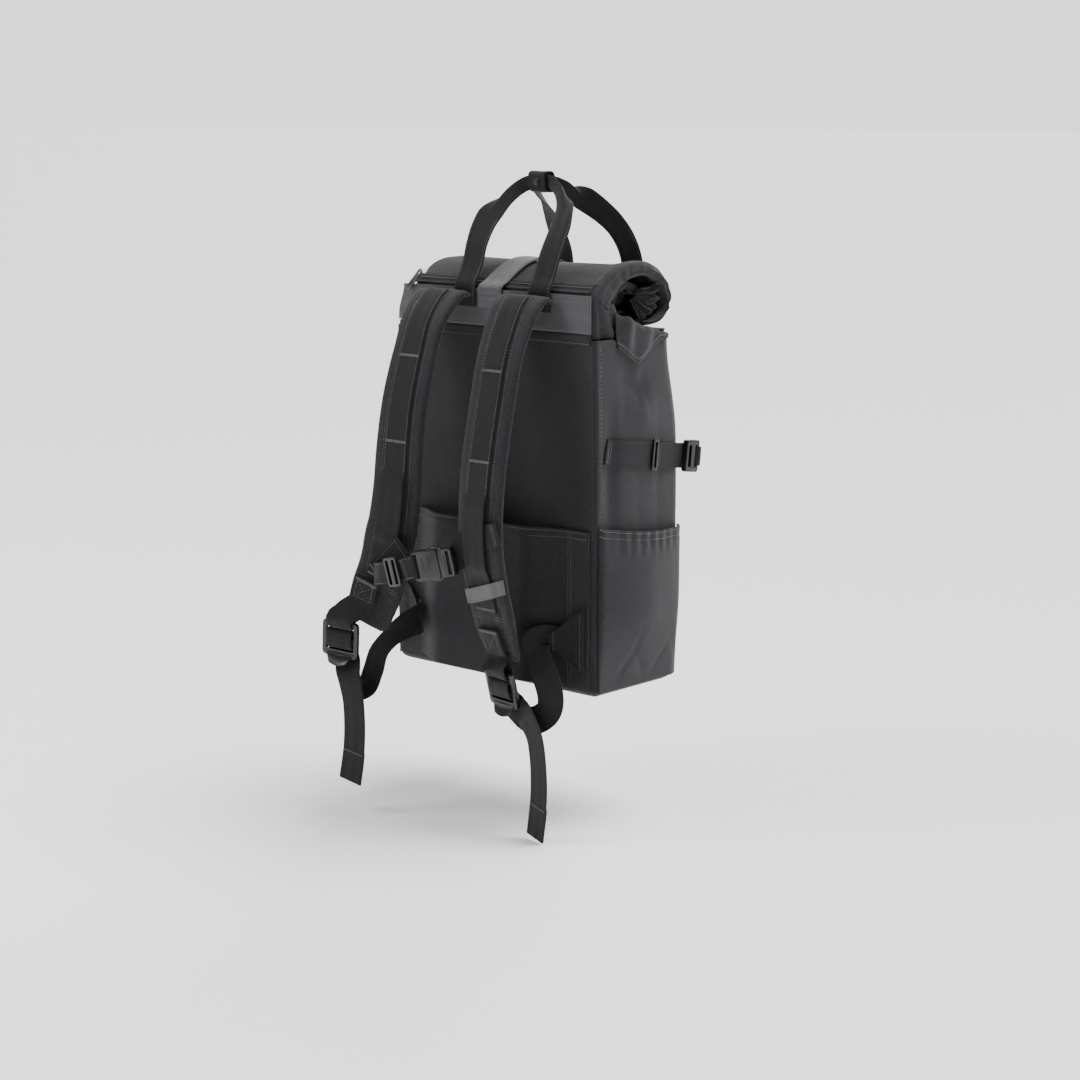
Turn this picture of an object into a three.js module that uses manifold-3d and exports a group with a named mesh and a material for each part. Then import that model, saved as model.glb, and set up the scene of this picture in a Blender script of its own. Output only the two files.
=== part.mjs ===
import * as THREE from "three";
import Module from "manifold-3d";
import { mergeVertices } from "three/addons/utils/BufferGeometryUtils.js";

// The frame: millimetres, +Z up, the harness side faces -Y
// The origin is in the passage behind the luggage sleeve
const gap = 0.3;
const clothThick = 2.5;

// Body of the pack
const bodyHalfWidth = 157;
const bodyDepth = 154;
const backY = 10;
const frontBulge = 14;
const sideBulge = 4;
const backCorner = 7;
const frontCorner = 26;
const rimHigh = 404;
const rimDip = 24;
const rimLip = 3;
const topNarrow = 13;
const baseRound = 16;

// Webbing and padding
const webWidth = 32;
const webThick = 1.8;
const padWidth = 66;
const padThick = 13;
const strapApart = 62;
const strapRootHigh = 445;

// Top band and roll
const bandLow = 411;
const bandHigh = 453;
const bandThick = 1.6;
const rollHigh = 483;
const rollHalfWidth = bodyHalfWidth - 2;
const rollThick = 3.4;
const rollEndThick = 9;
const rollTuck = 15;
const rollSag = 2;

// Luggage sleeve
const sleeveHalfWidth = 129;
const sleeveLow = 12;
const sleeveHigh = 191;
const sleeveStand = 22;
const sleeveThick = 2.4;

// Side pockets
const pocketHemBack = 198;
const pocketHemFront = 181;
const pocketLow = 6;
const pocketBulge = 12;
const pocketThick = 2.2;

// Handles
const handleApart = 57;
const handleTop = 572;
const handleShift = 8;
const legShift = 0.17;
const handleMidY = 85;
const keeperLong = 26;

// Side straps
const sideStrapBack = 281;
const sideStrapFront = 264;

// Hard pieces
const lockWide = 46;
const lockLong = 44;
const lockThick = 5;
const buckleThick = 11;

const frontY = backY + bodyDepth;
const v3 = (x, y, z) => new THREE.Vector3(x, y, z);
const mix = (a, b, t) => a + (b - a) * t;
const ease = (t) => {
  const k = Math.min(Math.max(t, 0), 1);
  return k * k * (3 - 2 * k);
};
const hump = (t) => Math.sin(Math.PI * Math.min(Math.max(t, 0), 1));

// Colours and finishes
const cloth = (color, roughness) => new THREE.MeshStandardMaterial({ color, roughness, metalness: 0 });
const looks = {
  fabric: () => cloth(0x3a3b40, 0.86),
  webbing: () => cloth(0x43444a, 0.78),
  plastic: () => cloth(0x1d1e21, 0.45),
  patch: () => cloth(0x55565b, 0.6),
  metal: () => new THREE.MeshStandardMaterial({ color: 0x6b6d72, roughness: 0.35, metalness: 0.9 }),
};

const pack = new THREE.Group();
pack.name = "backpack";

function add(name, geometry, look) {
  const mesh = new THREE.Mesh(geometry, looks[look]());
  mesh.name = name;
  pack.add(mesh);
  return mesh;
}

// A closed solid from rings of points, each ring joined to the next
function lattice(rings, caps = "strip") {
  const count = rings[0].length;
  const points = rings.flat();
  const faces = [];
  const quad = (a, b, c, d) => faces.push(a, b, c, a, c, d);
  const steps = caps === "loop" ? rings.length : rings.length - 1;
  for (let j = 0; j < steps; j++) {
    const here = j * count;
    const next = ((j + 1) % rings.length) * count;
    for (let i = 0; i < count; i++) {
      const k = (i + 1) % count;
      quad(here + i, here + k, next + k, next + i);
    }
  }
  const ends = [[0, true], [(rings.length - 1) * count, false]];
  if (caps === "strip") {
    for (const [start, back] of ends) {
      for (let i = 0; i < count / 2 - 1; i++) {
        const corners = [start + i, start + i + 1, start + count - 2 - i, start + count - 1 - i];
        if (back) corners.reverse();
        quad(...corners);
      }
    }
  }
  if (caps === "fan") {
    for (const [start, back] of ends) {
      const middle = v3(0, 0, 0);
      for (let i = 0; i < count; i++) middle.addScaledVector(points[start + i], 1 / count);
      points.push(middle);
      const m = points.length - 1;
      for (let i = 0; i < count; i++) {
        const k = (i + 1) % count;
        if (back) faces.push(m, start + k, start + i);
        else faces.push(m, start + i, start + k);
      }
    }
  }
  let volume = 0;
  for (let i = 0; i < faces.length; i += 3) {
    const [a, b, c] = [points[faces[i]], points[faces[i + 1]], points[faces[i + 2]]];
    volume += a.dot(b.clone().cross(c));
  }
  if (volume < 0) faces.reverse();
  const geometry = new THREE.BufferGeometry();
  const values = points.flatMap((p) => [p.x, p.y, p.z]);
  geometry.setAttribute("position", new THREE.Float32BufferAttribute(values, 3));
  geometry.setIndex(faces);
  geometry.computeVertexNormals();
  return geometry;
}

// Stations along a smooth path, each with its place, direction, width direction and outward direction
function stations(path, across, count) {
  const curve = new THREE.CatmullRomCurve3(path, false, "centripetal");
  const list = [];
  const length = curve.getLength();
  for (let i = 0; i <= count; i++) {
    const share = i / count;
    const p = curve.getPointAt(share);
    const t = curve.getTangentAt(share);
    const at = curve.getUtoTmapping(share) * (across.length - 1);
    const low = Math.min(Math.floor(at), Math.max(across.length - 2, 0));
    const a = across[low].clone().lerp(across[Math.min(low + 1, across.length - 1)], at - low);
    a.addScaledVector(t, -a.dot(t)).normalize();
    const n = t.clone().cross(a).normalize();
    list.push({ p, t, a, n, share, along: share * length });
  }
  return list;
}

// Stations at the path's own points, with more between where they lie farther apart than the step
function threaded(path, across, step) {
  const curve = new THREE.CatmullRomCurve3(path, false, "centripetal");
  const list = [];
  const last = path.length - 1;
  for (let i = 0; i < last; i++) {
    const pieces = Math.max(1, Math.ceil(path[i].distanceTo(path[i + 1]) / step));
    for (let j = 0; j < pieces; j++) list.push({ at: (i + j / pieces) / last, low: i, blend: j / pieces });
  }
  list.push({ at: 1, low: last - 1, blend: 1 });
  return list.map(({ at, low, blend }) => {
    const p = curve.getPoint(at);
    const t = curve.getTangent(at);
    const a = across[across.length === 1 ? 0 : low].clone();
    if (across.length > 1) a.lerp(across[low + 1], blend);
    a.addScaledVector(t, -a.dot(t)).normalize();
    return { p, t, a, n: t.clone().cross(a).normalize(), share: at };
  });
}

function part(list, from, to) {
  return list.filter((s) => s.share >= from - 1e-6 && s.share <= to + 1e-6);
}

// A flat strap: a thin rectangle carried along its stations
function flatStrap(list, width = webWidth, thick = webThick) {
  return lattice(list.map((s) => {
    const at = (u, w) => s.p.clone().addScaledVector(s.a, u * width / 2).addScaledVector(s.n, w * thick / 2);
    return [at(-1, 1), at(1, 1), at(1, -1), at(-1, -1)];
  }));
}

// A padded strap: a low cushion section, thinner at its bound edges
const padSection = [
  { side: -1, full: 0.34 },
  { side: -0.86, full: 0.82 },
  { side: -0.4, full: 1 },
  { side: 0.4, full: 1 },
  { side: 0.86, full: 0.82 },
  { side: 1, full: 0.34 },
];
function paddedStrap(list, widthAt, thickAt) {
  return lattice(list.map((s) => {
    const at = (row, w) => s.p.clone()
      .addScaledVector(s.a, row.side * widthAt(s.share) / 2)
      .addScaledVector(s.n, w * row.full * thickAt(s.share) / 2);
    const under = [...padSection].reverse().map((row) => at(row, -1));
    return [...padSection.map((row) => at(row, 1)), ...under];
  }));
}

// A plate with holes, drawn in its own plane and made solid on both sides of it
function plate(width, height, corner, thick, holes = []) {
  const box = (x, y, w, h, r, target) => {
    target.moveTo(x - w / 2 + r, y - h / 2);
    target.lineTo(x + w / 2 - r, y - h / 2);
    target.quadraticCurveTo(x + w / 2, y - h / 2, x + w / 2, y - h / 2 + r);
    target.lineTo(x + w / 2, y + h / 2 - r);
    target.quadraticCurveTo(x + w / 2, y + h / 2, x + w / 2 - r, y + h / 2);
    target.lineTo(x - w / 2 + r, y + h / 2);
    target.quadraticCurveTo(x - w / 2, y + h / 2, x - w / 2, y + h / 2 - r);
    target.lineTo(x - w / 2, y - h / 2 + r);
    target.quadraticCurveTo(x - w / 2, y - h / 2, x - w / 2 + r, y - h / 2);
  };
  const shape = new THREE.Shape();
  box(0, 0, width, height, corner, shape);
  for (const hole of holes) {
    const path = new THREE.Path();
    box(hole.x, hole.y, hole.w, hole.h, hole.r, path);
    shape.holes.push(path);
  }
  const form = { depth: thick, bevelEnabled: false, curveSegments: 2 };
  const geometry = new THREE.ExtrudeGeometry(shape, form);
  geometry.translate(0, 0, -thick / 2);
  return geometry;
}

// Turns a plate so that its own x, y and z run along three given directions about a place
function placed(geometry, place, x, y) {
  const ax = x.clone().normalize();
  const ay = y.clone().addScaledVector(ax, -y.dot(ax)).normalize();
  const az = ax.clone().cross(ay);
  const m = new THREE.Matrix4().makeBasis(ax, ay, az).setPosition(place);
  return geometry.applyMatrix4(m);
}

// Boolean work on closed solids
const wasm = await Module();
wasm.setup();
function toSolid(geometry) {
  const bare = geometry.clone();
  bare.deleteAttribute("normal");
  bare.deleteAttribute("uv");
  const merged = mergeVertices(bare, 1e-4);
  return new wasm.Manifold(new wasm.Mesh({
    numProp: 3,
    vertProperties: new Float32Array(merged.attributes.position.array),
    triVerts: new Uint32Array(merged.index.array),
  }));
}
function toGeometry(solid) {
  const mesh = solid.getMesh();
  const geometry = new THREE.BufferGeometry();
  geometry.setAttribute("position", new THREE.Float32BufferAttribute(mesh.vertProperties, 3));
  geometry.setIndex(Array.from(mesh.triVerts));
  geometry.computeVertexNormals();
  return geometry;
}
function boxSolid(w, h, d, x, y, z) {
  return toSolid(new THREE.BoxGeometry(w, h, d).translate(x, y, z));
}

// Round the body: a rectangle with soft corners, from the middle of the back past the right side
const cornerSteps = 4;
const sideSteps = 8;
const faceSteps = 8;
const roundSpots = [];
for (let i = 0; i < faceSteps / 2; i++) roundSpots.push({ face: "back", at: 0.5 + i / faceSteps });
for (let i = 0; i <= cornerSteps; i++) roundSpots.push({ face: "corner0", at: i / cornerSteps });
for (let i = 1; i < sideSteps; i++) roundSpots.push({ face: "right", at: i / sideSteps });
for (let i = 0; i <= cornerSteps; i++) roundSpots.push({ face: "corner1", at: i / cornerSteps });
for (let i = 1; i < faceSteps; i++) roundSpots.push({ face: "front", at: i / faceSteps });
for (let i = 0; i <= cornerSteps; i++) roundSpots.push({ face: "corner2", at: i / cornerSteps });
for (let i = 1; i < sideSteps; i++) roundSpots.push({ face: "left", at: i / sideSteps });
for (let i = 0; i <= cornerSteps; i++) roundSpots.push({ face: "corner3", at: i / cornerSteps });
for (let i = 1; i < faceSteps / 2; i++) roundSpots.push({ face: "back", at: i / faceSteps });

// Dents and folds of the cloth: place on a face, size in shares of it, and depth
const folds = [
  { face: "right", at: 0.14, high: 0.62, wide: 0.08, tall: 0.16, deep: 4 },
  { face: "right", at: 0.62, high: 0.8, wide: 0.16, tall: 0.07, deep: -3 },
  { face: "right", at: 0.5, high: 0.9, wide: 0.22, tall: 0.05, deep: 5 },
  { face: "left", at: 0.84, high: 0.6, wide: 0.08, tall: 0.18, deep: 4 },
  { face: "left", at: 0.45, high: 0.88, wide: 0.2, tall: 0.06, deep: 5 },
  { face: "front", at: 0.3, high: 0.7, wide: 0.14, tall: 0.1, deep: 4 },
  { face: "front", at: 0.72, high: 0.55, wide: 0.12, tall: 0.14, deep: 4 },
  { face: "front", at: 0.5, high: 0.9, wide: 0.4, tall: 0.06, deep: 5 },
];

function skin(spot, z, inset = 0) {
  const high = z / rimHigh;
  const narrow = topNarrow * ease((high - 0.7) / 0.3);
  const half = bodyHalfWidth - inset - 0.15 * narrow;
  const back = backY + inset;
  const front = frontY - inset - narrow + 4 * hump(high * 1.1);
  const rb = Math.max(backCorner - inset, 3);
  const rf = Math.max(frontCorner - inset, 3);
  const turn = Math.PI / 2 * spot.at;
  let x = 0;
  let y = 0;
  let nx = 0;
  let ny = 0;
  if (spot.face === "back") {
    x = mix(-(half - rb), half - rb, spot.at);
    y = back;
    ny = -1;
  }
  if (spot.face === "front") {
    x = mix(half - rf, -(half - rf), spot.at);
    y = front + frontBulge * hump(spot.at) * ease(high * 5) * (1 - 0.4 * high);
    ny = 1;
  }
  if (spot.face === "right" || spot.face === "left") {
    const s = spot.face === "right" ? 1 : -1;
    const at = s > 0 ? spot.at : 1 - spot.at;
    x = s * (half + sideBulge * hump(at) * ease(high * 4) * (1 - 0.3 * high));
    y = mix(back + rb, front - rf, at);
    nx = s;
  }
  if (spot.face === "corner0") {
    x = half - rb + rb * Math.sin(turn);
    y = back + rb - rb * Math.cos(turn);
  }
  if (spot.face === "corner1") {
    x = half - rf + rf * Math.cos(turn);
    y = front - rf + rf * Math.sin(turn);
  }
  if (spot.face === "corner2") {
    x = -(half - rf) - rf * Math.sin(turn);
    y = front - rf + rf * Math.cos(turn);
  }
  if (spot.face === "corner3") {
    x = -(half - rb) - rb * Math.cos(turn);
    y = back + rb - rb * Math.sin(turn);
  }
  for (const fold of folds) {
    if (fold.face !== spot.face) continue;
    const u = (spot.at - fold.at) / fold.wide;
    const w = (high - fold.high) / fold.tall;
    const depth = fold.deep * Math.exp(-u * u - w * w) * Math.min(1, 6 * hump(spot.at));
    x -= nx * depth;
    y -= ny * depth;
  }
  return v3(x, y, z);
}

// Height of the open rim: a dip at each side where the collar folds inward
function rimAt(spot) {
  if (spot.face === "right" || spot.face === "left") {
    const at = spot.face === "right" ? spot.at : 1 - spot.at;
    return rimHigh - rimDip * Math.max(0, 1 - Math.abs(at - 0.56) / 0.36);
  }
  if (spot.face === "front") return rimHigh - rimLip;
  return rimHigh;
}

const bodyLevels = [0.04, 0.12, 0.25, 0.42, 0.52, 0.6, 0.68, 0.76, 0.84, 0.92, 1];
const liningLevels = [0.04, 0.25, 0.52, 0.68, 0.84, 0.92, 1];
const baseLevels = [
  { share: 0, in: 1 },
  { share: 0.12, in: 0.55 },
  { share: 0.45, in: 0.14 },
];
const bodyRing = (level, inset) => roundSpots.map((spot) => {
  const drop = (rimHigh - rimAt(spot)) * ease((level - 0.7) / 0.3);
  const p = skin(spot, rimHigh * level, inset);
  p.z -= drop;
  return p;
});
const baseRing = (row, inset) => roundSpots.map((spot) =>
  skin(spot, inset + row.share * (baseRound - inset), inset + row.in * baseRound * 0.6));
add("pack_body", lattice([
  ...baseLevels.map((row) => baseRing(row, 0)),
  ...bodyLevels.map((level) => bodyRing(level, 0)),
  ...[...liningLevels].reverse().map((level) => bodyRing(level, clothThick)),
  ...[...baseLevels].reverse().map((row) => baseRing(row, clothThick)),
], "fan"), "fabric");

// Roll top: a spiral of cloth, shares of the roll's depth and of its height over the rim
const rollDepth = 138;
const rollRise = rollHigh - rimHigh;
const rollProfile = [
  { deep: 0.009, high: 0.012 },
  { deep: 0.009, high: 0.34 },
  { deep: 0.02, high: 0.6 },
  { deep: 0.09, high: 0.72 },
  { deep: 0.18, high: 0.82 },
  { deep: 0.28, high: 0.92 },
  { deep: 0.4, high: 0.985 },
  { deep: 0.53, high: 1 },
  { deep: 0.69, high: 0.97 },
  { deep: 0.85, high: 0.84 },
  { deep: 0.96, high: 0.62 },
  { deep: 0.995, high: 0.38 },
  { deep: 0.94, high: 0.18 },
  { deep: 0.81, high: 0.09 },
  { deep: 0.63, high: 0.12 },
  { deep: 0.46, high: 0.22 },
  { deep: 0.36, high: 0.4 },
  { deep: 0.4, high: 0.62 },
  { deep: 0.54, high: 0.76 },
  { deep: 0.69, high: 0.7 },
  { deep: 0.81, high: 0.54 },
  { deep: 0.83, high: 0.38 },
  { deep: 0.73, high: 0.28 },
];
const rollTurnEnd = 13;
const rollSteps = 32;
const rollStations = [-1, -0.965, -0.9, -0.75, -0.45, -0.15, 0.15, 0.45, 0.75, 0.9, 0.965, 1];
const rollCurve = new THREE.CatmullRomCurve3(
  rollProfile.map((row) => v3(0, backY + row.deep * rollDepth, rimHigh + row.high * rollRise)),
  false,
  "centripetal",
);
const outerShare = rollTurnEnd / (rollProfile.length - 1);
function rollAt(share, along) {
  const p = rollCurve.getPointAt(share);
  const t = rollCurve.getTangentAt(share);
  const n = v3(0, t.z, -t.y);
  const end = ease((Math.abs(along) - 0.7) / 0.3);
  const firstTurn = 1 - ease((share - outerShare * 0.86) / 0.16);
  const thick = rollThick + (rollEndThick - rollThick) * end * firstTurn * ease(share / 0.2);
  const crown = along > 0 ? 8 : -5;
  const upper = ease((share - 0.1) / 0.3) * (1 - ease((share - 0.5) / 0.2));
  p.x = along * rollHalfWidth + (along < 0 ? rollTuck : 0) * end * ease(share / 0.16);
  p.z -= (rollSag * (1 - Math.abs(along)) - crown * end) * upper;
  return { p, n, thick };
}
add("roll_top", lattice(rollStations.map((along) => {
  const outer = [];
  const inner = [];
  for (let i = 0; i <= rollSteps; i++) {
    const { p, n, thick } = rollAt(i / rollSteps, along);
    outer.push(p);
    inner.push(p.clone().addScaledVector(n, thick));
  }
  return [...outer, ...inner.reverse()];
})), "fabric");

// Collar gussets: cloth at each side between the rim and the rolled end
const gussetRows = [
  { high: 0.0, from: 0.16, to: 0.42 },
  { high: 0.25, from: 0.12, to: 0.33 },
  { high: 0.5, from: 0.1, to: 0.25 },
  { high: 0.75, from: 0.09, to: 0.2 },
  { high: 1, from: 0.09, to: 0.16 },
];
const gussetLow = rimHigh + gap;
const gussetTop = 446;
for (const [side, name] of [[1, "collar_gusset_right"], [-1, "collar_gusset_left"]]) {
  add(name, lattice(gussetRows.map((row) => {
    const z = mix(gussetLow, gussetTop, row.high);
    const edge = side * (rollHalfWidth + gap);
    const outer = [];
    const inner = [];
    for (let i = 0; i <= 6; i++) {
      const at = i / 6;
      const y = backY + bodyDepth * mix(row.from, row.to, at) * 0.9;
      const fold = 1 + 0.8 * at * at;
      outer.push(v3(edge + side * clothThick * fold, y, z));
      inner.push(v3(edge, y, z));
    }
    return [...outer, ...inner.reverse()];
  })), "fabric");
}

// Places on the back: out counts from the back panel towards the wearer
const back = (x, out, z) => v3(x, backY - out, z);
const alongX = v3(1, 0, 0);
const alongZ = v3(0, 0, 1);

// Half width between the back seams
const flatHalf = bodyHalfWidth - backCorner - 1;

// Top band across the head of the back panel
const bandOut = gap + bandThick;
function slab(x0, x1, z0, z1, outAt, thick, steps = 8, rows = 4) {
  const rings = [];
  for (let i = 0; i <= steps; i++) {
    const x = mix(x0, x1, i / steps);
    const outer = [];
    const inner = [];
    for (let j = 0; j <= rows; j++) {
      const z = mix(z0, z1, j / rows);
      const out = outAt(x, j / rows);
      outer.push(back(x, out + thick, z));
      inner.push(back(x, out, z));
    }
    rings.push([...outer, ...inner.reverse()]);
  }
  return lattice(rings);
}
add("top_band", slab(-flatHalf, flatHalf, bandLow, bandHigh, () => gap, bandThick, 2, 1), "webbing");

// Luggage sleeve: sewn flat at both sides, standing off the back between the seams
const sleeveOut = (x) => gap + sleeveStand * ease((sleeveHalfWidth - Math.abs(x)) / 58);
add("luggage_sleeve", slab(-flatHalf, flatHalf, sleeveLow, sleeveHigh,
  (x, share) => sleeveOut(x) + 2.5 * hump(share) * ease((sleeveHalfWidth - Math.abs(x)) / 58),
  sleeveThick, 26, 4), "fabric");

// Side pockets: a gathered sheet over the lower side, open at its hem
const normalAt = (spot) => {
  const turn = Math.PI / 2 * spot.at;
  if (spot.face === "corner0") return v3(Math.sin(turn), -Math.cos(turn), 0);
  if (spot.face === "corner1") return v3(Math.cos(turn), Math.sin(turn), 0);
  return v3(1, 0, 0);
};
const pocketSpots = roundSpots.filter((spot) => spot.face === "right"
  || (spot.face === "corner0" && spot.at > 0.7)
  || (spot.face === "corner1" && spot.at < 0.6));
const pocketRows = [0, 0.08, 0.22, 0.42, 0.62, 0.8, 0.94, 1];
for (const [side, name] of [[1, "side_pocket_right"], [-1, "side_pocket_left"]]) {
  add(name, lattice(pocketSpots.map((spot, i) => {
    const across = i / (pocketSpots.length - 1);
    const hem = mix(pocketHemBack, pocketHemFront, across) - 5 * hump(across);
    const outer = [];
    const inner = [];
    for (const row of pocketRows) {
      const z = mix(pocketLow, hem, row);
      const p = skin(spot, z);
      const n = normalAt(spot);
      const gather = row > 0.9 ? 0.5 * Math.cos(across * Math.PI * 14) * hump(across) : 0;
      const swell = Math.pow(hump(across), 0.75) * ease(row * 1.7) * (1 - 0.25 * row);
      const lift = gap + 0.2 + pocketBulge * swell + gather;
      for (const [list, extra] of [[outer, pocketThick], [inner, 0]]) {
        const q = p.clone().addScaledVector(n, Math.max(lift, gap) + extra);
        list.push(v3(side * q.x, q.y, q.z));
      }
    }
    return [...outer, ...inner.reverse()];
  })), "fabric");
}

// Shoulder straps: shares of the root height, distance out from the back, sideways drift
const rightStrapRows = [
  { out: 5.2, high: 1, drift: 0 },
  { out: 15, high: 1.004, drift: 0 },
  { out: 28, high: 0.98, drift: 0 },
  { out: 42, high: 0.926, drift: 0 },
  { out: 55, high: 0.856, drift: 0 },
  { out: 66, high: 0.755, drift: 0 },
  { out: 78, high: 0.63, drift: 0 },
  { out: 84.5, high: 0.528, drift: 0 },
  { out: 86, high: 0.404, drift: 0 },
  { out: 79, high: 0.312, drift: 0 },
  { out: 68, high: 0.218, drift: 1 },
  { out: 58, high: 0.137, drift: 2 },
  { out: 50, high: 0.094, drift: 2 },
];
const leftStrapRows = [
  { out: 5.2, high: 1, drift: 0 },
  { out: 17, high: 1.004, drift: 0 },
  { out: 36, high: 0.972, drift: 0 },
  { out: 50, high: 0.928, drift: 0 },
  { out: 61, high: 0.865, drift: 0 },
  { out: 69, high: 0.815, drift: 0 },
  { out: 80, high: 0.73, drift: 0 },
  { out: 88, high: 0.627, drift: 0 },
  { out: 92, high: 0.5, drift: 2 },
  { out: 92, high: 0.415, drift: 9 },
  { out: 92, high: 0.372, drift: 15 },
  { out: 92, high: 0.31, drift: 22 },
  { out: 95, high: 0.222, drift: 37 },
  { out: 98, high: 0.145, drift: 50 },
];
const strapCount = 30;
const padWidthAt = (share) => padWidth + 8 * (1 - ease(share / 0.2)) - 18 * ease((share - 0.88) / 0.12);
const padThickAt = (share) =>
  padThick * (1 - 0.4 * (1 - ease(share / 0.06)) - 0.5 * ease((share - 0.86) / 0.14));
const strapLines = {};
function strapPoint(line, share, side, lift) {
  const at = share * strapCount;
  const low = Math.min(Math.floor(at), strapCount - 1);
  const blend = (key) => line[low][key].clone().lerp(line[low + 1][key], at - low);
  return blend("p")
    .addScaledVector(blend("a").normalize(), side)
    .addScaledVector(blend("n").normalize(), lift);
}
const straps = [
  { side: 1, name: "right", rows: rightStrapRows, turn: [0, 0, 0, -0.05, -0.1] },
  { side: -1, name: "left", rows: leftStrapRows, turn: [0, 0, 0.1, 0.25, 0.3] },
];
for (const strap of straps) {
  const path = strap.rows.map((row) =>
    back(strap.side * (strapApart + row.drift), row.out, strapRootHigh * row.high));
  const across = strap.turn.map((turn) => v3(Math.cos(turn), Math.sin(turn), 0));
  const line = stations(path, across, strapCount);
  strapLines[strap.name] = line;
  add(`shoulder_strap_${strap.name}`, paddedStrap(line, padWidthAt, padThickAt), "fabric");
  const under = (share) => 4.4 * ease((share - 0.53) / 0.05) * (1 - ease((share - 0.725) / 0.04));
  const over = (share) => padThickAt(share) / 2 + gap + webThick / 2 + under(share);
  const face = part(line, 0.03, 0.86).map((s) =>
    ({ ...s, p: s.p.clone().addScaledVector(s.n, over(s.share)) }));
  add(`face_webbing_${strap.name}`, flatStrap(face), "webbing");
}

// Ladder-locks: slot for the sewn loop and the adjusting webbing, middle bar, lower slot
const slotUpper = { v: 10.5, h: 13 };
const slotLower = { v: -8, h: 12 };
const lockGeometry = () => plate(lockWide, lockLong, 5, lockThick, [
  { x: 0, y: slotUpper.v, w: webWidth + 4, h: slotUpper.h, r: 1.5 },
  { x: 0, y: slotLower.v, w: webWidth + 4, h: slotLower.h, r: 1.5 },
]);
const clearance = lockThick / 2 + gap + webThick / 2 + 1.3;
const loopRows = [
  { v: 27, w: 1.4 },
  { v: 21, w: 1.22 },
  { v: 17.5, w: 1.02 },
  { v: 15, w: 0.65 },
  { v: 14.2, w: 0 },
  { v: 15, w: -0.65 },
  { v: 17.5, w: -1.02 },
  { v: 21, w: -1.22 },
  { v: 27, w: -1.4 },
];
const threadRows = [
  { v: -26, w: -3 },
  { v: -14, w: -2.5 },
  { v: -4, w: -1.5 },
  { v: 2.5, w: -1 },
  { v: 6, w: -0.6 },
  { v: 6.8, w: 0 },
  { v: 6, w: 0.6 },
  { v: 2.5, w: 1 },
  { v: -3, w: 1 },
  { v: -6.5, w: 0.5 },
  { v: -8.5, w: -0.2 },
  { v: -12, w: -1 },
];
const locks = {
  right: {
    shift: 0,
    legs: [0.9, 0.94, 0.98],
    centre: back(70, 60, 10),
    x: v3(0.99, -0.09, -0.03),
    y: v3(0.0, -0.26, 0.96),
    lower: [
      { x: 115, out: 8.6, z: 63, turn: v3(0, 0, -1) },
      { x: 109, out: 12.2, z: 64, turn: v3(0, 0, -1) },
      { x: 103, out: 16, z: 65, turn: v3(0, 0, -1) },
      { x: 97, out: 20.5, z: 65, turn: v3(0, 0, -1) },
      { x: 92, out: 29, z: 61, turn: v3(0.5, 0.2, -0.8) },
      { x: 99, out: 33, z: 46, turn: v3(0.95, 0.2, -0.2) },
      { x: 112, out: 35, z: 28, turn: v3(0.96, 0.29, 0) },
      { x: 123, out: 38, z: 6, turn: v3(0.96, 0.25, 0) },
      { x: 125, out: 42, z: -9, turn: v3(0.9, 0.1, -0.4) },
      { x: 114, out: 45, z: -20, turn: v3(0.5, 0, -0.85) },
      { x: 98, out: 45, z: -25, turn: v3(0.1, 0, -1) },
      { x: 83, out: 42, z: -22, turn: v3(-0.5, 0, -0.85) },
      { x: 73, out: 43, z: -14, turn: v3(-0.95, 0, -0.3) },
    ],
    tail: [
      { x: 77, out: 47.5, z: -10, turn: v3(-0.85, 0, -0.5) },
      { x: 90, out: 49.5, z: -15, turn: v3(-0.62, 0.2, -0.75) },
      { x: 105, out: 56, z: -23, turn: v3(-0.7, 0.2, -0.68) },
      { x: 117, out: 59, z: -37, turn: v3(-0.9, 0.24, -0.35) },
      { x: 123.5, out: 60, z: -62, turn: v3(-0.97, 0.26, -0.05) },
      { x: 125, out: 60, z: -105, turn: v3(-0.97, 0.26, 0) },
      { x: 118, out: 59, z: -156, turn: v3(-0.97, 0.26, 0.1) },
    ],
  },
  left: {
    shift: -10,
    legs: [0.9, 0.92, 0.94],
    centre: back(-132, 119, 47),
    x: v3(0.93, 0.3, -0.1),
    y: v3(0.36, 0, 0.9),
    lower: [
      { x: -115, out: 8.6, z: 63, turn: v3(0, 0, 1) },
      { x: -109, out: 12.2, z: 64, turn: v3(0, 0, 1) },
      { x: -103, out: 16, z: 65, turn: v3(0, 0, 1) },
      { x: -97, out: 20.5, z: 65, turn: v3(0, 0, 1) },
      { x: -92, out: 32, z: 62, turn: v3(-0.3, 0.2, 0.9) },
      { x: -92, out: 52, z: 56, turn: v3(-0.6, 0.3, 0.7) },
      { x: -98, out: 70, z: 46, turn: v3(-0.85, 0.3, 0.4) },
      { x: -106, out: 82, z: 30, turn: v3(-0.95, 0.1, 0.1) },
      { x: -112, out: 87, z: 6, turn: v3(-1, 0, 0) },
      { x: -118, out: 93, z: -14, turn: v3(-1, 0, 0) },
      { x: -127, out: 101, z: -20, turn: v3(-0.95, 0.1, 0) },
      { x: -133, out: 106, z: -6, turn: v3(-0.9, 0.1, 0) },
    ],
    tail: [
      { x: -132, out: 110, z: 24, turn: v3(-0.95, -0.2, 0.1) },
      { x: -122, out: 117, z: 6, turn: v3(-0.98, -0.14, 0.1) },
      { x: -112, out: 119, z: -28, turn: v3(-1, -0.07, 0) },
      { x: -112, out: 119, z: -78, turn: v3(-1, -0.07, 0) },
      { x: -121, out: 118, z: -123, turn: v3(-0.98, -0.1, 0.1) },
    ],
  },
};
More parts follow.
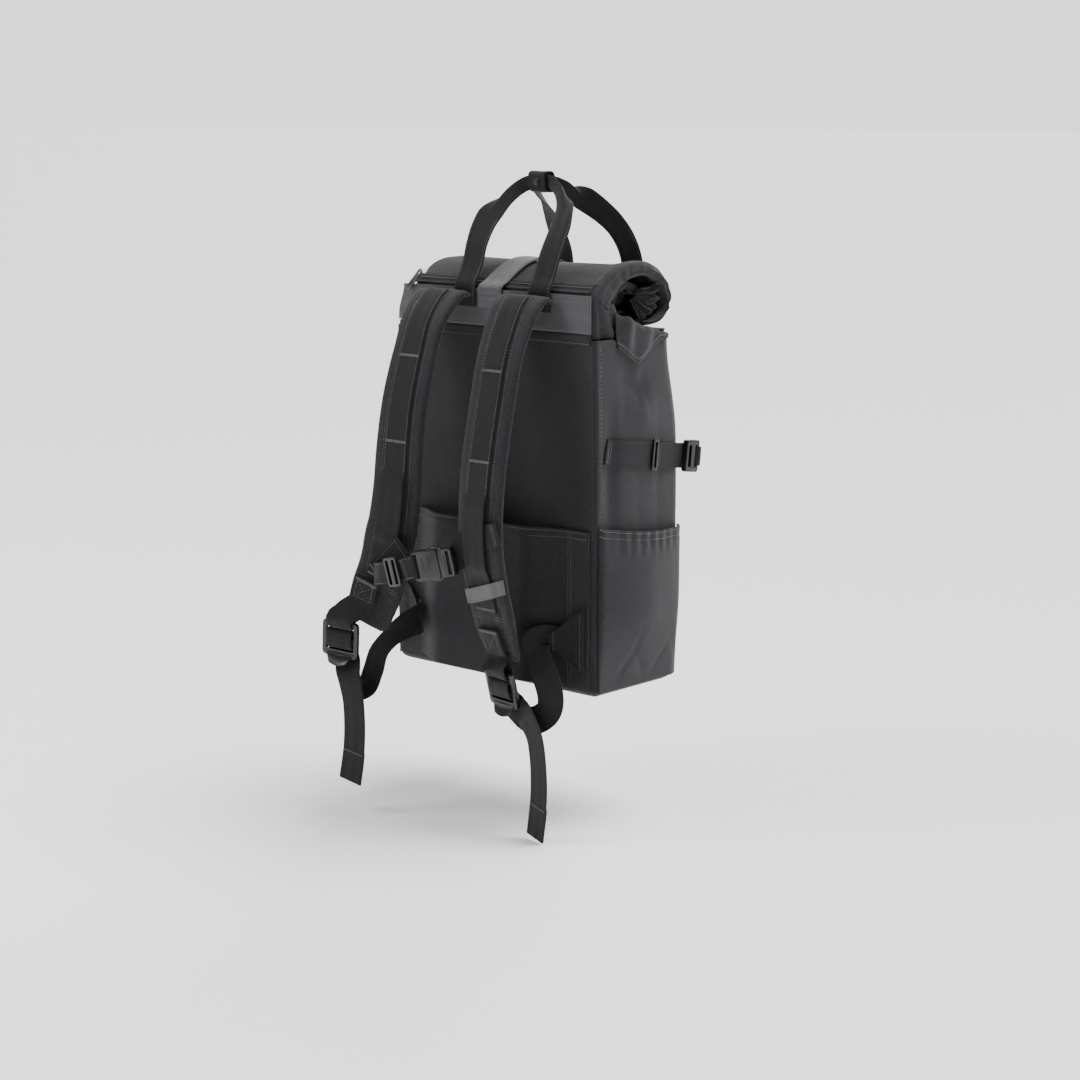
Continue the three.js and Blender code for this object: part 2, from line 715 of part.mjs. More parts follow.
for (const strap of straps) {
  const lock = locks[strap.name];
  const ax = lock.x.clone().normalize();
  const ay = lock.y.clone().addScaledVector(ax, -lock.y.dot(ax)).normalize();
  const az = ax.clone().cross(ay);
  const out = az.y < 0 ? az : az.clone().negate();
  const at = (v, w) => lock.centre.clone().addScaledVector(ay, v).addScaledVector(out, w * clearance);
  add(`ladder_lock_${strap.name}`, placed(lockGeometry(), lock.centre, ax, ay), "plastic");
  const line = strapLines[strap.name];
  const legOf = (step) => lock.legs.map((share) => strapPoint(line, share, lock.shift,
    padThickAt(share) / 2 + gap + webThick / 2 + 2.4 + step * (webThick + gap + 0.5)));
  const loopPath = [...legOf(1), ...loopRows.map((row) => at(row.v, row.w)), ...legOf(0).reverse()];
  const legAcross = lock.legs.map((share) => line[Math.round(share * strapCount)].a);
  const loopAcross = [...legAcross, ...loopRows.map(() => ax), ...[...legAcross].reverse()];
  add(`strap_loop_${strap.name}`, flatStrap(threaded(loopPath, loopAcross, 12)), "webbing");
  const free = (rows) => rows.map((row) => back(row.x, row.out, row.z));
  const thread = threadRows.map((row) => at(row.v, row.w));
  const lowerPath = [...free(lock.lower), ...thread, ...free(lock.tail)];
  const across = [
    ...lock.lower.map((row) => row.turn),
    ...threadRows.map(() => ax.clone().negate()),
    ...lock.tail.map((row) => row.turn),
  ];
  add(`lower_webbing_${strap.name}`, flatStrap(threaded(lowerPath, across, 9)), "webbing");
}

// Anchor wings: triangles sewn into the side seams, free at their points
const wingRows = [
  { x: 144, low: 24, high: 107, out: 4 },
  { x: 130, low: 36, high: 95, out: 5.5 },
  { x: 116, low: 47, high: 82, out: 10 },
  { x: 103, low: 56, high: 70, out: 18 },
];
const wingThick = 2.4;
for (const [side, name] of [[1, "anchor_wing_right"], [-1, "anchor_wing_left"]]) {
  add(name, lattice(wingRows.map((row) => {
    const list = [0, 0.5, 1].map((share) => mix(row.low, row.high, share));
    const at = (z, more) => back(side * row.x, row.out + more, z);
    return [...list.map((z) => at(z, wingThick)), ...list.reverse().map((z) => at(z, 0))];
  })), "webbing");
}

// Tote handles: folded to half width at the grips, both grips held by the keeper
const legOut = bandOut + gap + webThick / 2;
const nearRows = [
  { x: -1, out: legOut, high: 0.755, turn: 0 },
  { x: -1, out: legOut, high: 0.799, turn: 0 },
  { x: -1, out: -4, high: 0.821, turn: 0 },
  { x: -0.99, out: -9, high: 0.84, turn: 0.02 },
  { x: -0.98, out: -16, high: 0.88, turn: 0.12 },
  { x: -0.9, out: -30, high: 0.925, turn: 0.4 },
  { x: -0.66, out: -48, high: 0.966, turn: 0.9 },
  { x: -0.3, out: -70.5, high: 0.996, turn: 1.4 },
  { x: 0, out: -72, high: 1, turn: 1.57 },
  { x: 0.3, out: -71.5, high: 1, turn: 1.65 },
  { x: 0.66, out: -62, high: 0.985, turn: 2.0 },
  { x: 0.98, out: -46, high: 0.955, turn: 2.6 },
  { x: 1.05, out: -30, high: 0.915, turn: 3.05 },
  { x: 1.02, out: -17, high: 0.875, turn: 3.1 },
  { x: 1, out: -9, high: 0.84, turn: 3.14 },
  { x: 1, out: -4, high: 0.821, turn: 3.14 },
  { x: 1, out: legOut, high: 0.799, turn: 3.14 },
  { x: 1, out: legOut, high: 0.755, turn: 3.14 },
];
const farRows = [
  { x: -0.95, out: -155, high: 0.66, turn: 0 },
  { x: -0.95, out: -157, high: 0.71, turn: 0 },
  { x: -0.95, out: -163, high: 0.78, turn: 0 },
  { x: -0.93, out: -160, high: 0.85, turn: 0.1 },
  { x: -0.84, out: -142, high: 0.91, turn: 0.35 },
  { x: -0.58, out: -114, high: 0.962, turn: 0.85 },
  { x: -0.3, out: -80.5, high: 0.996, turn: 1.4 },
  { x: 0, out: -79, high: 1, turn: 1.57 },
  { x: 0.3, out: -80.5, high: 0.996, turn: 1.74 },
  { x: 0.58, out: -114, high: 0.962, turn: 2.29 },
  { x: 0.84, out: -142, high: 0.91, turn: 2.79 },
  { x: 0.93, out: -160, high: 0.85, turn: 3.04 },
  { x: 0.95, out: -163, high: 0.78, turn: Math.PI },
  { x: 0.95, out: -157, high: 0.71, turn: Math.PI },
  { x: 0.95, out: -155, high: 0.66, turn: Math.PI },
];
const gripHalf = 0.16;
const gripShare = (share) => 1 - ease((Math.abs(share - 0.5) - gripHalf * 0.4) / gripHalf);
function handle(name, rows) {
  const path = rows.map((row) => {
    const lean = legShift * ease((1 - row.high) / 0.12);
    return back(handleShift + (row.x + lean) * handleApart, row.out, row.high * handleTop);
  });
  const across = rows.map((row) => v3(Math.cos(row.turn), 0, -Math.sin(row.turn)));
  const line = stations(path, across, 34);
  add(name, lattice(line.map((s) => {
    const half = mix(webWidth, webWidth * 0.6, gripShare(s.share)) / 2;
    const thick = mix(webThick, webThick * 2, gripShare(s.share)) / 2;
    const at = (u, w) => s.p.clone().addScaledVector(s.a, u * half).addScaledVector(s.n, w * thick);
    return [at(-1, 1), at(1, 1), at(1, -1), at(-1, -1)];
  })), "webbing");
}
handle("handle_near", nearRows);
handle("handle_far", farRows);

// Keeper: a closed band around both grips
const keeperY = handleMidY + 0.5;
const keeperHalf = { y: 8.8, z: 13.8 };
const keeperRing = (grow) => {
  const list = [];
  for (let i = 0; i < 16; i++) {
    const turn = Math.PI * 2 * i / 16;
    const square = (c) => Math.sign(c) * Math.pow(Math.abs(c), 0.5);
    const y = square(Math.cos(turn)) * (keeperHalf.y + grow);
    const z = square(Math.sin(turn)) * (keeperHalf.z + grow);
    list.push({ y, z });
  }
  return list;
};
add("handle_keeper", lattice(keeperRing(0).map((spot, i) => {
  const far = keeperRing(webThick)[i];
  const half = keeperLong / 2;
  const at = (x, s) => v3(handleShift + x, keeperY + s.y, handleTop + s.z);
  return [at(-half, far), at(half, far), at(half, spot), at(-half, spot)];
}), "loop"), "webbing");

// Zip strip on the collar, its pull lying over the left end
const zipFrom = 0.115;
const zipTo = 0.15;
const zipLift = 0.4;
const zipThick = 1.2;
const onRoll = (share, along, lift) => {
  const { p, n } = rollAt(share, along);
  return p.addScaledVector(n, -lift);
};
add("collar_zip", lattice(rollStations.filter((along) => Math.abs(along) < 0.93).map((along) => {
  const shares = [zipFrom, (zipFrom + zipTo) / 2, zipTo];
  return [
    ...shares.map((share) => onRoll(share, along, zipLift + zipThick)),
    ...[...shares].reverse().map((share) => onRoll(share, along, zipLift)),
  ];
})), "webbing");
const pullLong = 30;
const pullTop = back(-111, 1, 471);
const pullEnd = back(-129, 6, 447);
const pullWay = pullTop.clone().sub(pullEnd).normalize();
add("zip_pull", placed(plate(7, pullLong, 3, 2.4, [{ x: 0, y: pullLong / 2 - 5, w: 3, h: 4, r: 1 }]),
  pullTop.clone().add(pullEnd).multiplyScalar(0.5), v3(0.8, -0.3, -0.6), pullWay), "metal");

// Centre closure strap: from the back over the roll and down the front to its hook
const closureWidth = 36;
const closureLift = zipLift + zipThick + gap + webThick / 2;
const closureBack = [
  { out: legOut + 0.3, z: 432 },
  { out: legOut + 0.3, z: 446 },
  { out: legOut + 0.6, z: bandHigh + 2 },
];
const frontAt = (z) => skin({ face: "front", at: 0.5 }, z).y + gap + webThick / 2 + 0.3;
const closureFront = [
  { y: frontAt(400) + 9, z: 400 },
  { y: frontAt(372) + 9, z: 372 },
  { y: frontAt(346) + 6, z: 346 },
  { y: frontAt(324) + 0.6, z: 324 },
  { y: frontAt(304), z: 304 },
];
const closureShares = [0.135, 0.16, 0.19, 0.23, 0.27, 0.31, 0.35, 0.39, 0.43, 0.47];
const closurePath = [
  ...closureBack.map((row) => back(0, row.out, row.z)),
  ...closureShares.map((share) => onRoll(share, 0, closureLift + 0.6)),
  ...closureFront.map((row) => v3(0, row.y, row.z)),
];
add("closure_strap", flatStrap(stations(closurePath, [alongX], 34), closureWidth), "webbing");
const hookPlace = v3(0, frontAt(314) + webThick / 2 + gap + 2.6, 314);
add("closure_hook", placed(plate(44, 30, 5, 4, [{ x: 0, y: 7, w: closureWidth + 2, h: 6, r: 1 },
  { x: 0, y: -7, w: closureWidth + 2, h: 6, r: 1 }]), hookPlace, v3(-1, 0, 0), v3(0, 0, 1)), "plastic");

// Side straps: along each side from the back seam to the hook at the front edge
const sideWidth = 29;
const sideSpots = [
  { face: "right", at: 0.06 },
  ...roundSpots.filter((spot) => spot.face === "right"),
  { face: "corner1", at: 0 },
];
const sideLift = gap + webThick / 2 + 1;
const hookThick = 7;
const frontLoopWidth = 22;
const frontLoopRows = [
  { x: -9.5, y: 1 },
  { x: -7, y: 5 },
  { x: -3, y: 6 },
  { x: 3, y: 6 },
  { x: 5.4, y: 8.6 },
  { x: 4.8, y: 12 },
  { x: 1.5, y: 13.6 },
  { x: -3.5, y: 13.2 },
  { x: -7, y: 11 },
  { x: -10.5, y: 6.5 },
  { x: -12.5, y: 1 },
];
for (const [side, name] of [[1, "right"], [-1, "left"]]) {
  const flip = (p) => v3(side * p.x, p.y, p.z);
  const path = sideSpots.map((spot, i) => {
    const share = i / (sideSpots.length - 1);
    const z = mix(sideStrapBack, sideStrapFront, share);
    return flip(skin(spot, z).addScaledVector(normalAt(spot), sideLift));
  });
  const last = path[path.length - 1];
  path.push(last.clone().add(v3(0, 14, -1.5)));
  path.push(last.clone().add(v3(0, 24, -2.7)));
  add(`side_strap_${name}`, flatStrap(stations(path, [alongZ], 14), sideWidth), "webbing");
  const place = (y) => {
    const share = (y - path[0].y) / (last.y - path[0].y);
    return v3(0, y, mix(sideStrapBack, sideStrapFront, share));
  };
  const sideX = Math.max(...path.map((p) => Math.abs(p.x)));
  const glide = place(backY + 92);
  glide.x = side * (sideX + webThick / 2 + gap + 1.5);
  const glidePlate = plate(9, sideWidth + 7, 2, 3, [{ x: 0, y: 0, w: 4, h: sideWidth, r: 0.5 }]);
  const glideWay = v3(0, side, -0.12 * side);
  add(`tri_glide_${name}`, placed(glidePlate, glide, glideWay, v3(0, 0.12, 1)), "plastic");
  const hook = last.clone().add(v3(side * (hookThick / 2 + webThick / 2 + gap), 27, -3));
  add(`side_hook_${name}`, placed(plate(22, sideWidth + 8, 3, hookThick, [
    { x: -5, y: 0, w: 5, h: sideWidth - 4, r: 1 },
    { x: 6, y: 0, w: 4, h: frontLoopWidth + 3, r: 1 },
  ]), hook, v3(0, 1, -0.12), v3(0, 0.12, 1)), "plastic");
  const seam = { face: "corner1", at: 0.5 };
  const seamAt = (lift) => flip(skin(seam, hook.z).addScaledVector(normalAt(seam), lift));
  const loopPath = [
    seamAt(sideLift + webThick + gap + 0.8),
    ...frontLoopRows.map((row) => hook.clone().add(v3(side * row.x, row.y, -0.12 * row.y))),
    seamAt(sideLift),
  ];
  add(`front_loop_${name}`, flatStrap(threaded(loopPath, [v3(0, 0.12, 1)], 9), frontLoopWidth), "webbing");
}

// Sternum strap: doubled webbing with its slider, side-release buckle, end under the face webbing
const chestWidth = 26;
const chestWay = v3(0.957, 0.21, 0.2).normalize();
const chestUp = v3(-0.2, -0.1, 1);
const chestSocket = back(3, 110, 151);
const socketLong = 34;
const plugLong = 18;
const chestAt = (along, w = 0) => {
  const up = chestUp.clone().addScaledVector(chestWay, -chestUp.dot(chestWay)).normalize();
  const out = up.clone().cross(chestWay);
  if (out.y > 0) out.negate();
  return chestSocket.clone().addScaledVector(chestWay, along).addScaledVector(out, w);
};
const socketBody = toSolid(plate(socketLong, chestWidth + 8, 4, buckleThick));
const socketRoom = boxSolid(socketLong - 6, chestWidth - 2, buckleThick - 4, 4, 0, 0);
const socketWindows = boxSolid(14, chestWidth + 20, buckleThick - 5, 1, 0, 0);
const socketBar = boxSolid(4, chestWidth + 1, buckleThick + 2, -12.5, 0, 0);
const socketCuts = [socketRoom, socketWindows, socketBar];
const socketSolid = socketCuts.reduce((solid, cut) => solid.subtract(cut), socketBody);
add("sternum_socket", placed(toGeometry(socketSolid), chestSocket, chestWay, chestUp), "plastic");
const plugHead = toSolid(plate(plugLong, chestWidth + 6, 3, buckleThick - 2).translate(plugLong / 2, 0, 0));
const plugSlot = boxSolid(4, chestWidth + 1, buckleThick, plugLong - 5.5, 0, 0);
const prongs = [-1, 1].map((s) => boxSolid(17, 4, buckleThick - 6, -7.5, s * (chestWidth / 2 - 5), 0));
const rib = boxSolid(17, 4, buckleThick - 7, -7.5, 0, 0);
const plugSolid = [...prongs, rib].reduce((solid, more) => solid.add(more), plugHead.subtract(plugSlot));
const plugPlace = chestAt(socketLong / 2 + 0.5);
add("sternum_plug", placed(toGeometry(plugSolid), plugPlace, chestWay, chestUp), "plastic");

const socketReach = buckleThick / 2 + gap + webThick / 2 + 0.2;
const plugReach = (buckleThick - 2) / 2 + gap + webThick / 2 + 0.2;
const plugSlotAt = socketLong / 2 + 0.5 + plugLong - 5.5;
const chestLeftPath = [
  chestAt(-12.3, -socketReach * 0.5),
  chestAt(-12.3, socketReach * 0.6),
  chestAt(-13.4, socketReach + 0.5),
  chestAt(-17, socketReach + 0.9),
  chestAt(-22, socketReach + 0.5),
  back(-30, 122, 141),
  back(-48, 122.5, 137),
  back(-66, 121, 133),
  back(-78, 115, 131),
  back(-70, 108.5, 139),
  back(-57, 105, 153),
  back(-44, 102.5, 166),
];
add("sternum_webbing_left", flatStrap(threaded(chestLeftPath, [
  ...[0, 1, 2, 3, 4, 5, 6].map(() => chestUp),
  v3(-0.1, 0, 1), v3(0, 0, 1), v3(-0.4, 0, 1), v3(-0.6, 0, 1), v3(-0.6, 0, 1),
], 9), chestWidth), "webbing");
add("sternum_slider", placed(plate(20, chestWidth + 8, 3, 3.4, [
  { x: -5, y: 0, w: 4.4, h: chestWidth + 2, r: 1 },
  { x: 5, y: 0, w: 4.4, h: chestWidth + 2, r: 1 },
]), back(-38, 125.5, 139.5), v3(0.97, -0.02, 0.21), chestUp), "plastic");
const chestShare = 0.66;
const chestSlope = 0.3;
const rightLong = strapLines.right[strapCount].along;
const chestOnStrap = [-18, -2, 16, 35].map((side) => strapPoint(strapLines.right,
  chestShare - side * chestSlope / rightLong, side, padThick / 2 + gap + webThick / 2 + 1));
const chestLie = strapLines.right[Math.round(chestShare * strapCount)].t.clone().negate();
chestLie.x -= 0.28;
const chestRightPath = [
  chestAt(plugSlotAt - 0.2, plugReach * 0.6),
  chestAt(plugSlotAt - 0.2, -plugReach * 0.6),
  chestAt(plugSlotAt + 0.9, -plugReach - 0.5),
  chestAt(plugSlotAt + 4, -plugReach - 1.3),
  ...chestOnStrap,
];
add("sternum_webbing_right", flatStrap(threaded(chestRightPath, [
  ...[0, 1, 2, 3].map(() => chestUp), ...chestOnStrap.map(() => chestLie),
], 9), chestWidth), "webbing");

// Bare patch across the right strap, over its face webbing
const patchTall = 18;
const patchHalf = 33;
const patchThick = 1.2;
const patchShare = 0.8;
const patchSlope = 0.3;
const patchLine = strapLines.right;
const padFull = (share) => (share < 0.4 ? 1 : share < 0.86 ? mix(1, 0.82, (share - 0.4) / 0.46)
  : mix(0.82, 0.34, (share - 0.86) / 0.14));
const patchLift = (side) => {
  const over = 1 - ease((Math.abs(side) - webWidth / 2 - 1) / 8);
  const edge = padFull(Math.abs(side) / (padWidth / 2));
  return padThick / 2 * mix(edge, 1, over) + gap + 0.5 + (webThick + gap + 0.6) * over;
};
const patchRings = [];
for (let i = 0; i <= 14; i++) {
  const side = mix(-patchHalf, patchHalf, i / 14);
  const ends = [-0.5, 0, 0.5].map((k) => patchShare + (k * patchTall - side * patchSlope) / rightLong);
  patchRings.push([
    ...ends.map((share) => strapPoint(patchLine, share, side, patchLift(side) + patchThick)),
    ...ends.reverse().map((share) => strapPoint(patchLine, share, side, patchLift(side))),
  ]);
}
add("strap_patch", lattice(patchRings), "patch");

pack.updateMatrixWorld(true);
export default pack;
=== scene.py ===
import bpy
import bmesh
import math
from mathutils import Matrix, Vector, noise


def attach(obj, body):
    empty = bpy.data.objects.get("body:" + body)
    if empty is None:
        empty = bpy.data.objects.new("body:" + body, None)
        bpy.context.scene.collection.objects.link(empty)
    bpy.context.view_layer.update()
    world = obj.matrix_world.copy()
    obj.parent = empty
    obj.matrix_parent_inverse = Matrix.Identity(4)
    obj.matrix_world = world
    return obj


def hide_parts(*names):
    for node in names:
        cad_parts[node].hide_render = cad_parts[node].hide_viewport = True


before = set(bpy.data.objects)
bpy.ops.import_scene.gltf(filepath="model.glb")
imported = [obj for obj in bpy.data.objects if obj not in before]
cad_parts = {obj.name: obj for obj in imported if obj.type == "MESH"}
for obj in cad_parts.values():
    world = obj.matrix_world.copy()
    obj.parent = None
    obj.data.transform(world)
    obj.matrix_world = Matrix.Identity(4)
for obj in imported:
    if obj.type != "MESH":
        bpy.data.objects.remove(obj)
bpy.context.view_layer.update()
bpy.ops.object.select_all(action="DESELECT")
nodeObjects = {o.name: o for o in bpy.data.objects if o.type == "MESH"}

# Tables are in millimetres and become metres where a mesh is shaped
toMetres = 0.001


def ease(t):
    k = min(max(t, 0.0), 1.0)
    return k * k * (3 - 2 * k)


def hump(t):
    return math.sin(math.pi * min(max(t, 0.0), 1.0))


def mix(a, b, t):
    return a + (b - a) * t


def backSpot(x, out, z):
    return Vector((x, 10 - out, z))


# Paths: a smooth line through points, with the strap's width direction at each place
def smoothPoint(path, t):
    last = len(path) - 1
    at = last * t
    i = min(int(at), last - 1)
    w = at - i
    p1, p2 = path[i], path[i + 1]
    p0 = path[i - 1] if i > 0 else p1 * 2 - p2
    p3 = path[i + 2] if i + 2 <= last else p2 * 2 - p1
    d1 = max((p2 - p1).length, 1e-6) ** 0.5
    d0 = (p1 - p0).length ** 0.5 or d1
    d2 = (p3 - p2).length ** 0.5 or d1
    t1 = ((p1 - p0) / d0 - (p2 - p0) / (d0 + d1) + (p2 - p1) / d1) * d1
    t2 = ((p2 - p1) / d1 - (p3 - p1) / (d1 + d2) + (p3 - p2) / d2) * d1
    c2 = (p2 - p1) * 3 - t1 * 2 - t2
    c3 = (p1 - p2) * 2 + t1 + t2
    return p1 + t1 * w + c2 * w * w + c3 * w * w * w, t1 + c2 * 2 * w + c3 * 3 * w * w


def laidLine(path, across, spacing=2.6):
    fine = 24 * (len(path) - 1)
    spots = [smoothPoint(path, i / fine)[0] for i in range(fine + 1)]
    lengths = [0.0]
    for a, b in zip(spots, spots[1:]):
        lengths.append(lengths[-1] + (b - a).length)
    total = lengths[-1]
    count = max(int(math.ceil(total / spacing)), 3)
    line = []
    j = 0
    for i in range(count + 1):
        goal = total * i / count
        while j < fine - 1 and lengths[j + 1] < goal:
            j += 1
        part = (goal - lengths[j]) / max(lengths[j + 1] - lengths[j], 1e-9)
        t = min((j + part) / fine, 1.0)
        p, way = smoothPoint(path, t)
        way = way.normalized()
        if len(across) == 1:
            a = across[0].copy()
        else:
            at = t * (len(across) - 1)
            low = min(int(at), len(across) - 2)
            a = across[low].lerp(across[low + 1], at - low)
        a = (a - way * a.dot(way)).normalized()
        line.append({"p": p, "t": way, "a": a, "n": way.cross(a).normalized(), "share": i / count, "along": goal})
    return line


def spotOn(line, share, side, lift):
    at = min(max(share, 0), 1) * (len(line) - 1)
    low = min(int(at), len(line) - 2)
    w = at - low
    a, b = line[low], line[low + 1]
    across = a["a"].lerp(b["a"], w).normalized()
    normal = a["n"].lerp(b["n"], w).normalized()
    return a["p"].lerp(b["p"], w) + across * side + normal * lift, a["t"], across, normal


# Materials
def linkOrSet(tree, socket, value):
    if isinstance(value, bpy.types.NodeSocket):
        tree.links.new(value, socket)
    else:
        socket.default_value = value


def calc(tree, operation, a, b=None, c=None):
    node = tree.nodes.new("ShaderNodeMath")
    node.operation = operation
    for i, value in enumerate((a, b, c)):
        if value is not None:
            linkOrSet(tree, node.inputs[i], value)
    return node.outputs[0]


def startGroup(name, inputs, outputs):
    group = bpy.data.node_groups.new(name, "ShaderNodeTree")
    for label, kind, value in inputs:
        socket = group.interface.new_socket(label, in_out="INPUT", socket_type=kind)
        if value is not None:
            socket.default_value = value
    for label in outputs:
        group.interface.new_socket(label, in_out="OUTPUT", socket_type="NodeSocketFloat")
    return group, group.nodes.new("NodeGroupInput"), group.nodes.new("NodeGroupOutput")


def plainWeave():
    group, ins, outs = startGroup("plainWeave", [
        ("Vector", "NodeSocketVector", None), ("Threads", "NodeSocketFloat", 1200.0)], ["Height", "Tone"])
    split = group.nodes.new("ShaderNodeSeparateXYZ")
    group.links.new(ins.outputs["Vector"], split.inputs[0])
    turn = calc(group, "MULTIPLY", ins.outputs["Threads"], math.pi)
    warp = calc(group, "SINE", calc(group, "MULTIPLY", split.outputs[0], turn))
    weft = calc(group, "SINE", calc(group, "MULTIPLY", split.outputs[1], turn))
    over = calc(group, "GREATER_THAN", calc(group, "MULTIPLY", warp, weft), 0.0)
    under = calc(group, "SUBTRACT", 1.0, over)
    high = calc(group, "MAXIMUM",
                calc(group, "MULTIPLY", calc(group, "ABSOLUTE", warp), over),
                calc(group, "MULTIPLY", calc(group, "ABSOLUTE", weft), under))
    group.links.new(high, outs.inputs["Height"])
    group.links.new(over, outs.inputs["Tone"])
    return group


def twillWeave():
    group, ins, outs = startGroup("twillWeave", [
        ("Vector", "NodeSocketVector", None), ("Ribs", "NodeSocketFloat", 420.0),
        ("Band", "NodeSocketFloat", 0.008)], ["Height", "Tone"])
    split = group.nodes.new("ShaderNodeSeparateXYZ")
    group.links.new(ins.outputs["Vector"], split.inputs[0])
    folded = calc(group, "PINGPONG", split.outputs[0], ins.outputs["Band"])
    slope = calc(group, "ADD", calc(group, "MULTIPLY", folded, 1.2), split.outputs[1])
    rib = calc(group, "ABSOLUTE", calc(group, "SINE", calc(group, "MULTIPLY", slope,
               calc(group, "MULTIPLY", ins.outputs["Ribs"], math.pi))))
    thread = calc(group, "ABSOLUTE", calc(group, "SINE", calc(group, "MULTIPLY", split.outputs[0], 1100 * math.pi)))
    high = calc(group, "ADD", calc(group, "MULTIPLY", rib, 0.78), calc(group, "MULTIPLY", thread, 0.22))
    group.links.new(high, outs.inputs["Height"])
    group.links.new(rib, outs.inputs["Tone"])
    return group


def meshHoles():
    group, ins, outs = startGroup("spacerHoles", [
        ("Vector", "NodeSocketVector", None), ("Cells", "NodeSocketFloat", 330.0)], ["Height", "Tone"])
    cells = group.nodes.new("ShaderNodeTexVoronoi")
    cells.inputs["Randomness"].default_value = 0.15
    group.links.new(ins.outputs["Vector"], cells.inputs["Vector"])
    group.links.new(ins.outputs["Cells"], cells.inputs["Scale"])
    edge = calc(group, "MULTIPLY", cells.outputs["Distance"], 1.7)
    group.links.new(edge, outs.inputs["Height"])
    group.links.new(edge, outs.inputs["Tone"])
    return group


def clothWear():
    group, ins, outs = startGroup("clothWear", [
        ("Vector", "NodeSocketVector", None), ("Size", "NodeSocketFloat", 14.0)], ["Patches", "Dust", "Slubs"])
    for label, scale, detail in (("Patches", 1.0, 3.0), ("Dust", 48.0, 2.0)):
        cloud = group.nodes.new("ShaderNodeTexNoise")
        cloud.inputs["Detail"].default_value = detail
        group.links.new(ins.outputs["Vector"], cloud.inputs["Vector"])
        group.links.new(calc(group, "MULTIPLY", ins.outputs["Size"], scale), cloud.inputs["Scale"])
        group.links.new(cloud.outputs[0], outs.inputs[label])
    stretch = group.nodes.new("ShaderNodeMapping")
    stretch.inputs["Scale"].default_value = (60, 60, 900)
    slub = group.nodes.new("ShaderNodeTexNoise")
    slub.inputs["Scale"].default_value = 1.0
    group.links.new(ins.outputs["Vector"], stretch.inputs["Vector"])
    group.links.new(stretch.outputs[0], slub.inputs["Vector"])
    group.links.new(slub.outputs[0], outs.inputs["Slubs"])
    return group


patterns = {"plain": plainWeave(), "twill": twillWeave(), "mesh": meshHoles(), "wear": clothWear()}


# How strongly patches and speckle vary the colour, and where the ramp lies around its mean
clothGrain = {"patches": 0.25, "speckle": 0.9, "middle": 0.575, "below": 0.2, "above": 0.18}


def clothMaterial(name, look):
    material = bpy.data.materials.new(name)
    material.use_nodes = True
    tree = material.node_tree
    shader = tree.nodes["Principled BSDF"]
    place = tree.nodes.new("ShaderNodeTexCoord")
    weave = tree.nodes.new("ShaderNodeGroup")
    weave.node_tree = patterns[look["pattern"]]
    weave.label = look["pattern"]
    tree.links.new(place.outputs["UV" if look["follows"] == "uv" else "Object"], weave.inputs["Vector"])
    weave.inputs[1].default_value = look["count"]
    wear = tree.nodes.new("ShaderNodeGroup")
    wear.node_tree = patterns["wear"]
    wear.inputs["Size"].default_value = look["wearSize"]
    tree.links.new(place.outputs["Object"], wear.inputs["Vector"])
    tone = calc(tree, "ADD", calc(tree, "MULTIPLY", wear.outputs["Patches"], clothGrain["patches"]),
                calc(tree, "ADD", calc(tree, "MULTIPLY", weave.outputs["Tone"], look["toneShare"]),
                     calc(tree, "MULTIPLY", wear.outputs["Dust"], clothGrain["speckle"])))
    tints = tree.nodes.new("ShaderNodeValToRGB")
    middle = clothGrain["middle"] + 0.6 * look["toneShare"]
    tints.color_ramp.elements[0].position = middle - clothGrain["below"]
    tints.color_ramp.elements[0].color = (*look["dark"], 1)
    tints.color_ramp.elements[1].position = min(middle + clothGrain["above"], 1.0)
    tints.color_ramp.elements[1].color = (*look["light"], 1)
    tree.links.new(tone, tints.inputs[0])
    tree.links.new(tints.outputs[0], shader.inputs["Base Color"])
    rough = calc(tree, "ADD", look["rough"] - 0.08, calc(tree, "MULTIPLY", wear.outputs["Dust"], 0.16))
    tree.links.new(rough, shader.inputs["Roughness"])
    shader.inputs["Sheen Weight"].default_value = look["sheen"]
    shader.inputs["Sheen Roughness"].default_value = 0.45
    shader.inputs["Specular IOR Level"].default_value = look["specular"]
    height = calc(tree, "ADD", calc(tree, "MULTIPLY", weave.outputs["Height"], look["relief"]),
                  calc(tree, "MULTIPLY", wear.outputs["Slubs"], look["slub"]))
    bump = tree.nodes.new("ShaderNodeBump")
    bump.inputs["Strength"].default_value = look["bump"]
    bump.inputs["Distance"].default_value = 0.0004
    tree.links.new(height, bump.inputs["Height"])
    tree.links.new(bump.outputs[0], shader.inputs["Normal"])
    return material


def hardMaterial(name, look):
    material = bpy.data.materials.new(name)
    material.use_nodes = True
    tree = material.node_tree
    shader = tree.nodes["Principled BSDF"]
    place = tree.nodes.new("ShaderNodeTexCoord")
    wear = tree.nodes.new("ShaderNodeGroup")
    wear.node_tree = patterns["wear"]
    wear.inputs["Size"].default_value = look["wearSize"]
    tree.links.new(place.outputs["Object"], wear.inputs["Vector"])
    tints = tree.nodes.new("ShaderNodeValToRGB")
    tints.color_ramp.elements[0].position = 0.35
    tints.color_ramp.elements[0].color = (*look["dark"], 1)
    tints.color_ramp.elements[1].position = 0.7
    tints.color_ramp.elements[1].color = (*look["light"], 1)
    tree.links.new(wear.outputs["Patches"], tints.inputs[0])
    tree.links.new(tints.outputs[0], shader.inputs["Base Color"])
    rough = calc(tree, "ADD", look["rough"] - 0.1, calc(tree, "MULTIPLY", wear.outputs["Dust"], 0.2))
    tree.links.new(rough, shader.inputs["Roughness"])
    shader.inputs["Metallic"].default_value = look["metal"]
    shader.inputs["Specular IOR Level"].default_value = look["specular"]
    bump = tree.nodes.new("ShaderNodeBump")
    bump.inputs["Strength"].default_value = look["bump"]
    bump.inputs["Distance"].default_value = 0.0002
    tree.links.new(wear.outputs["Dust"], bump.inputs["Height"])
    tree.links.new(bump.outputs[0], shader.inputs["Normal"])
    return material


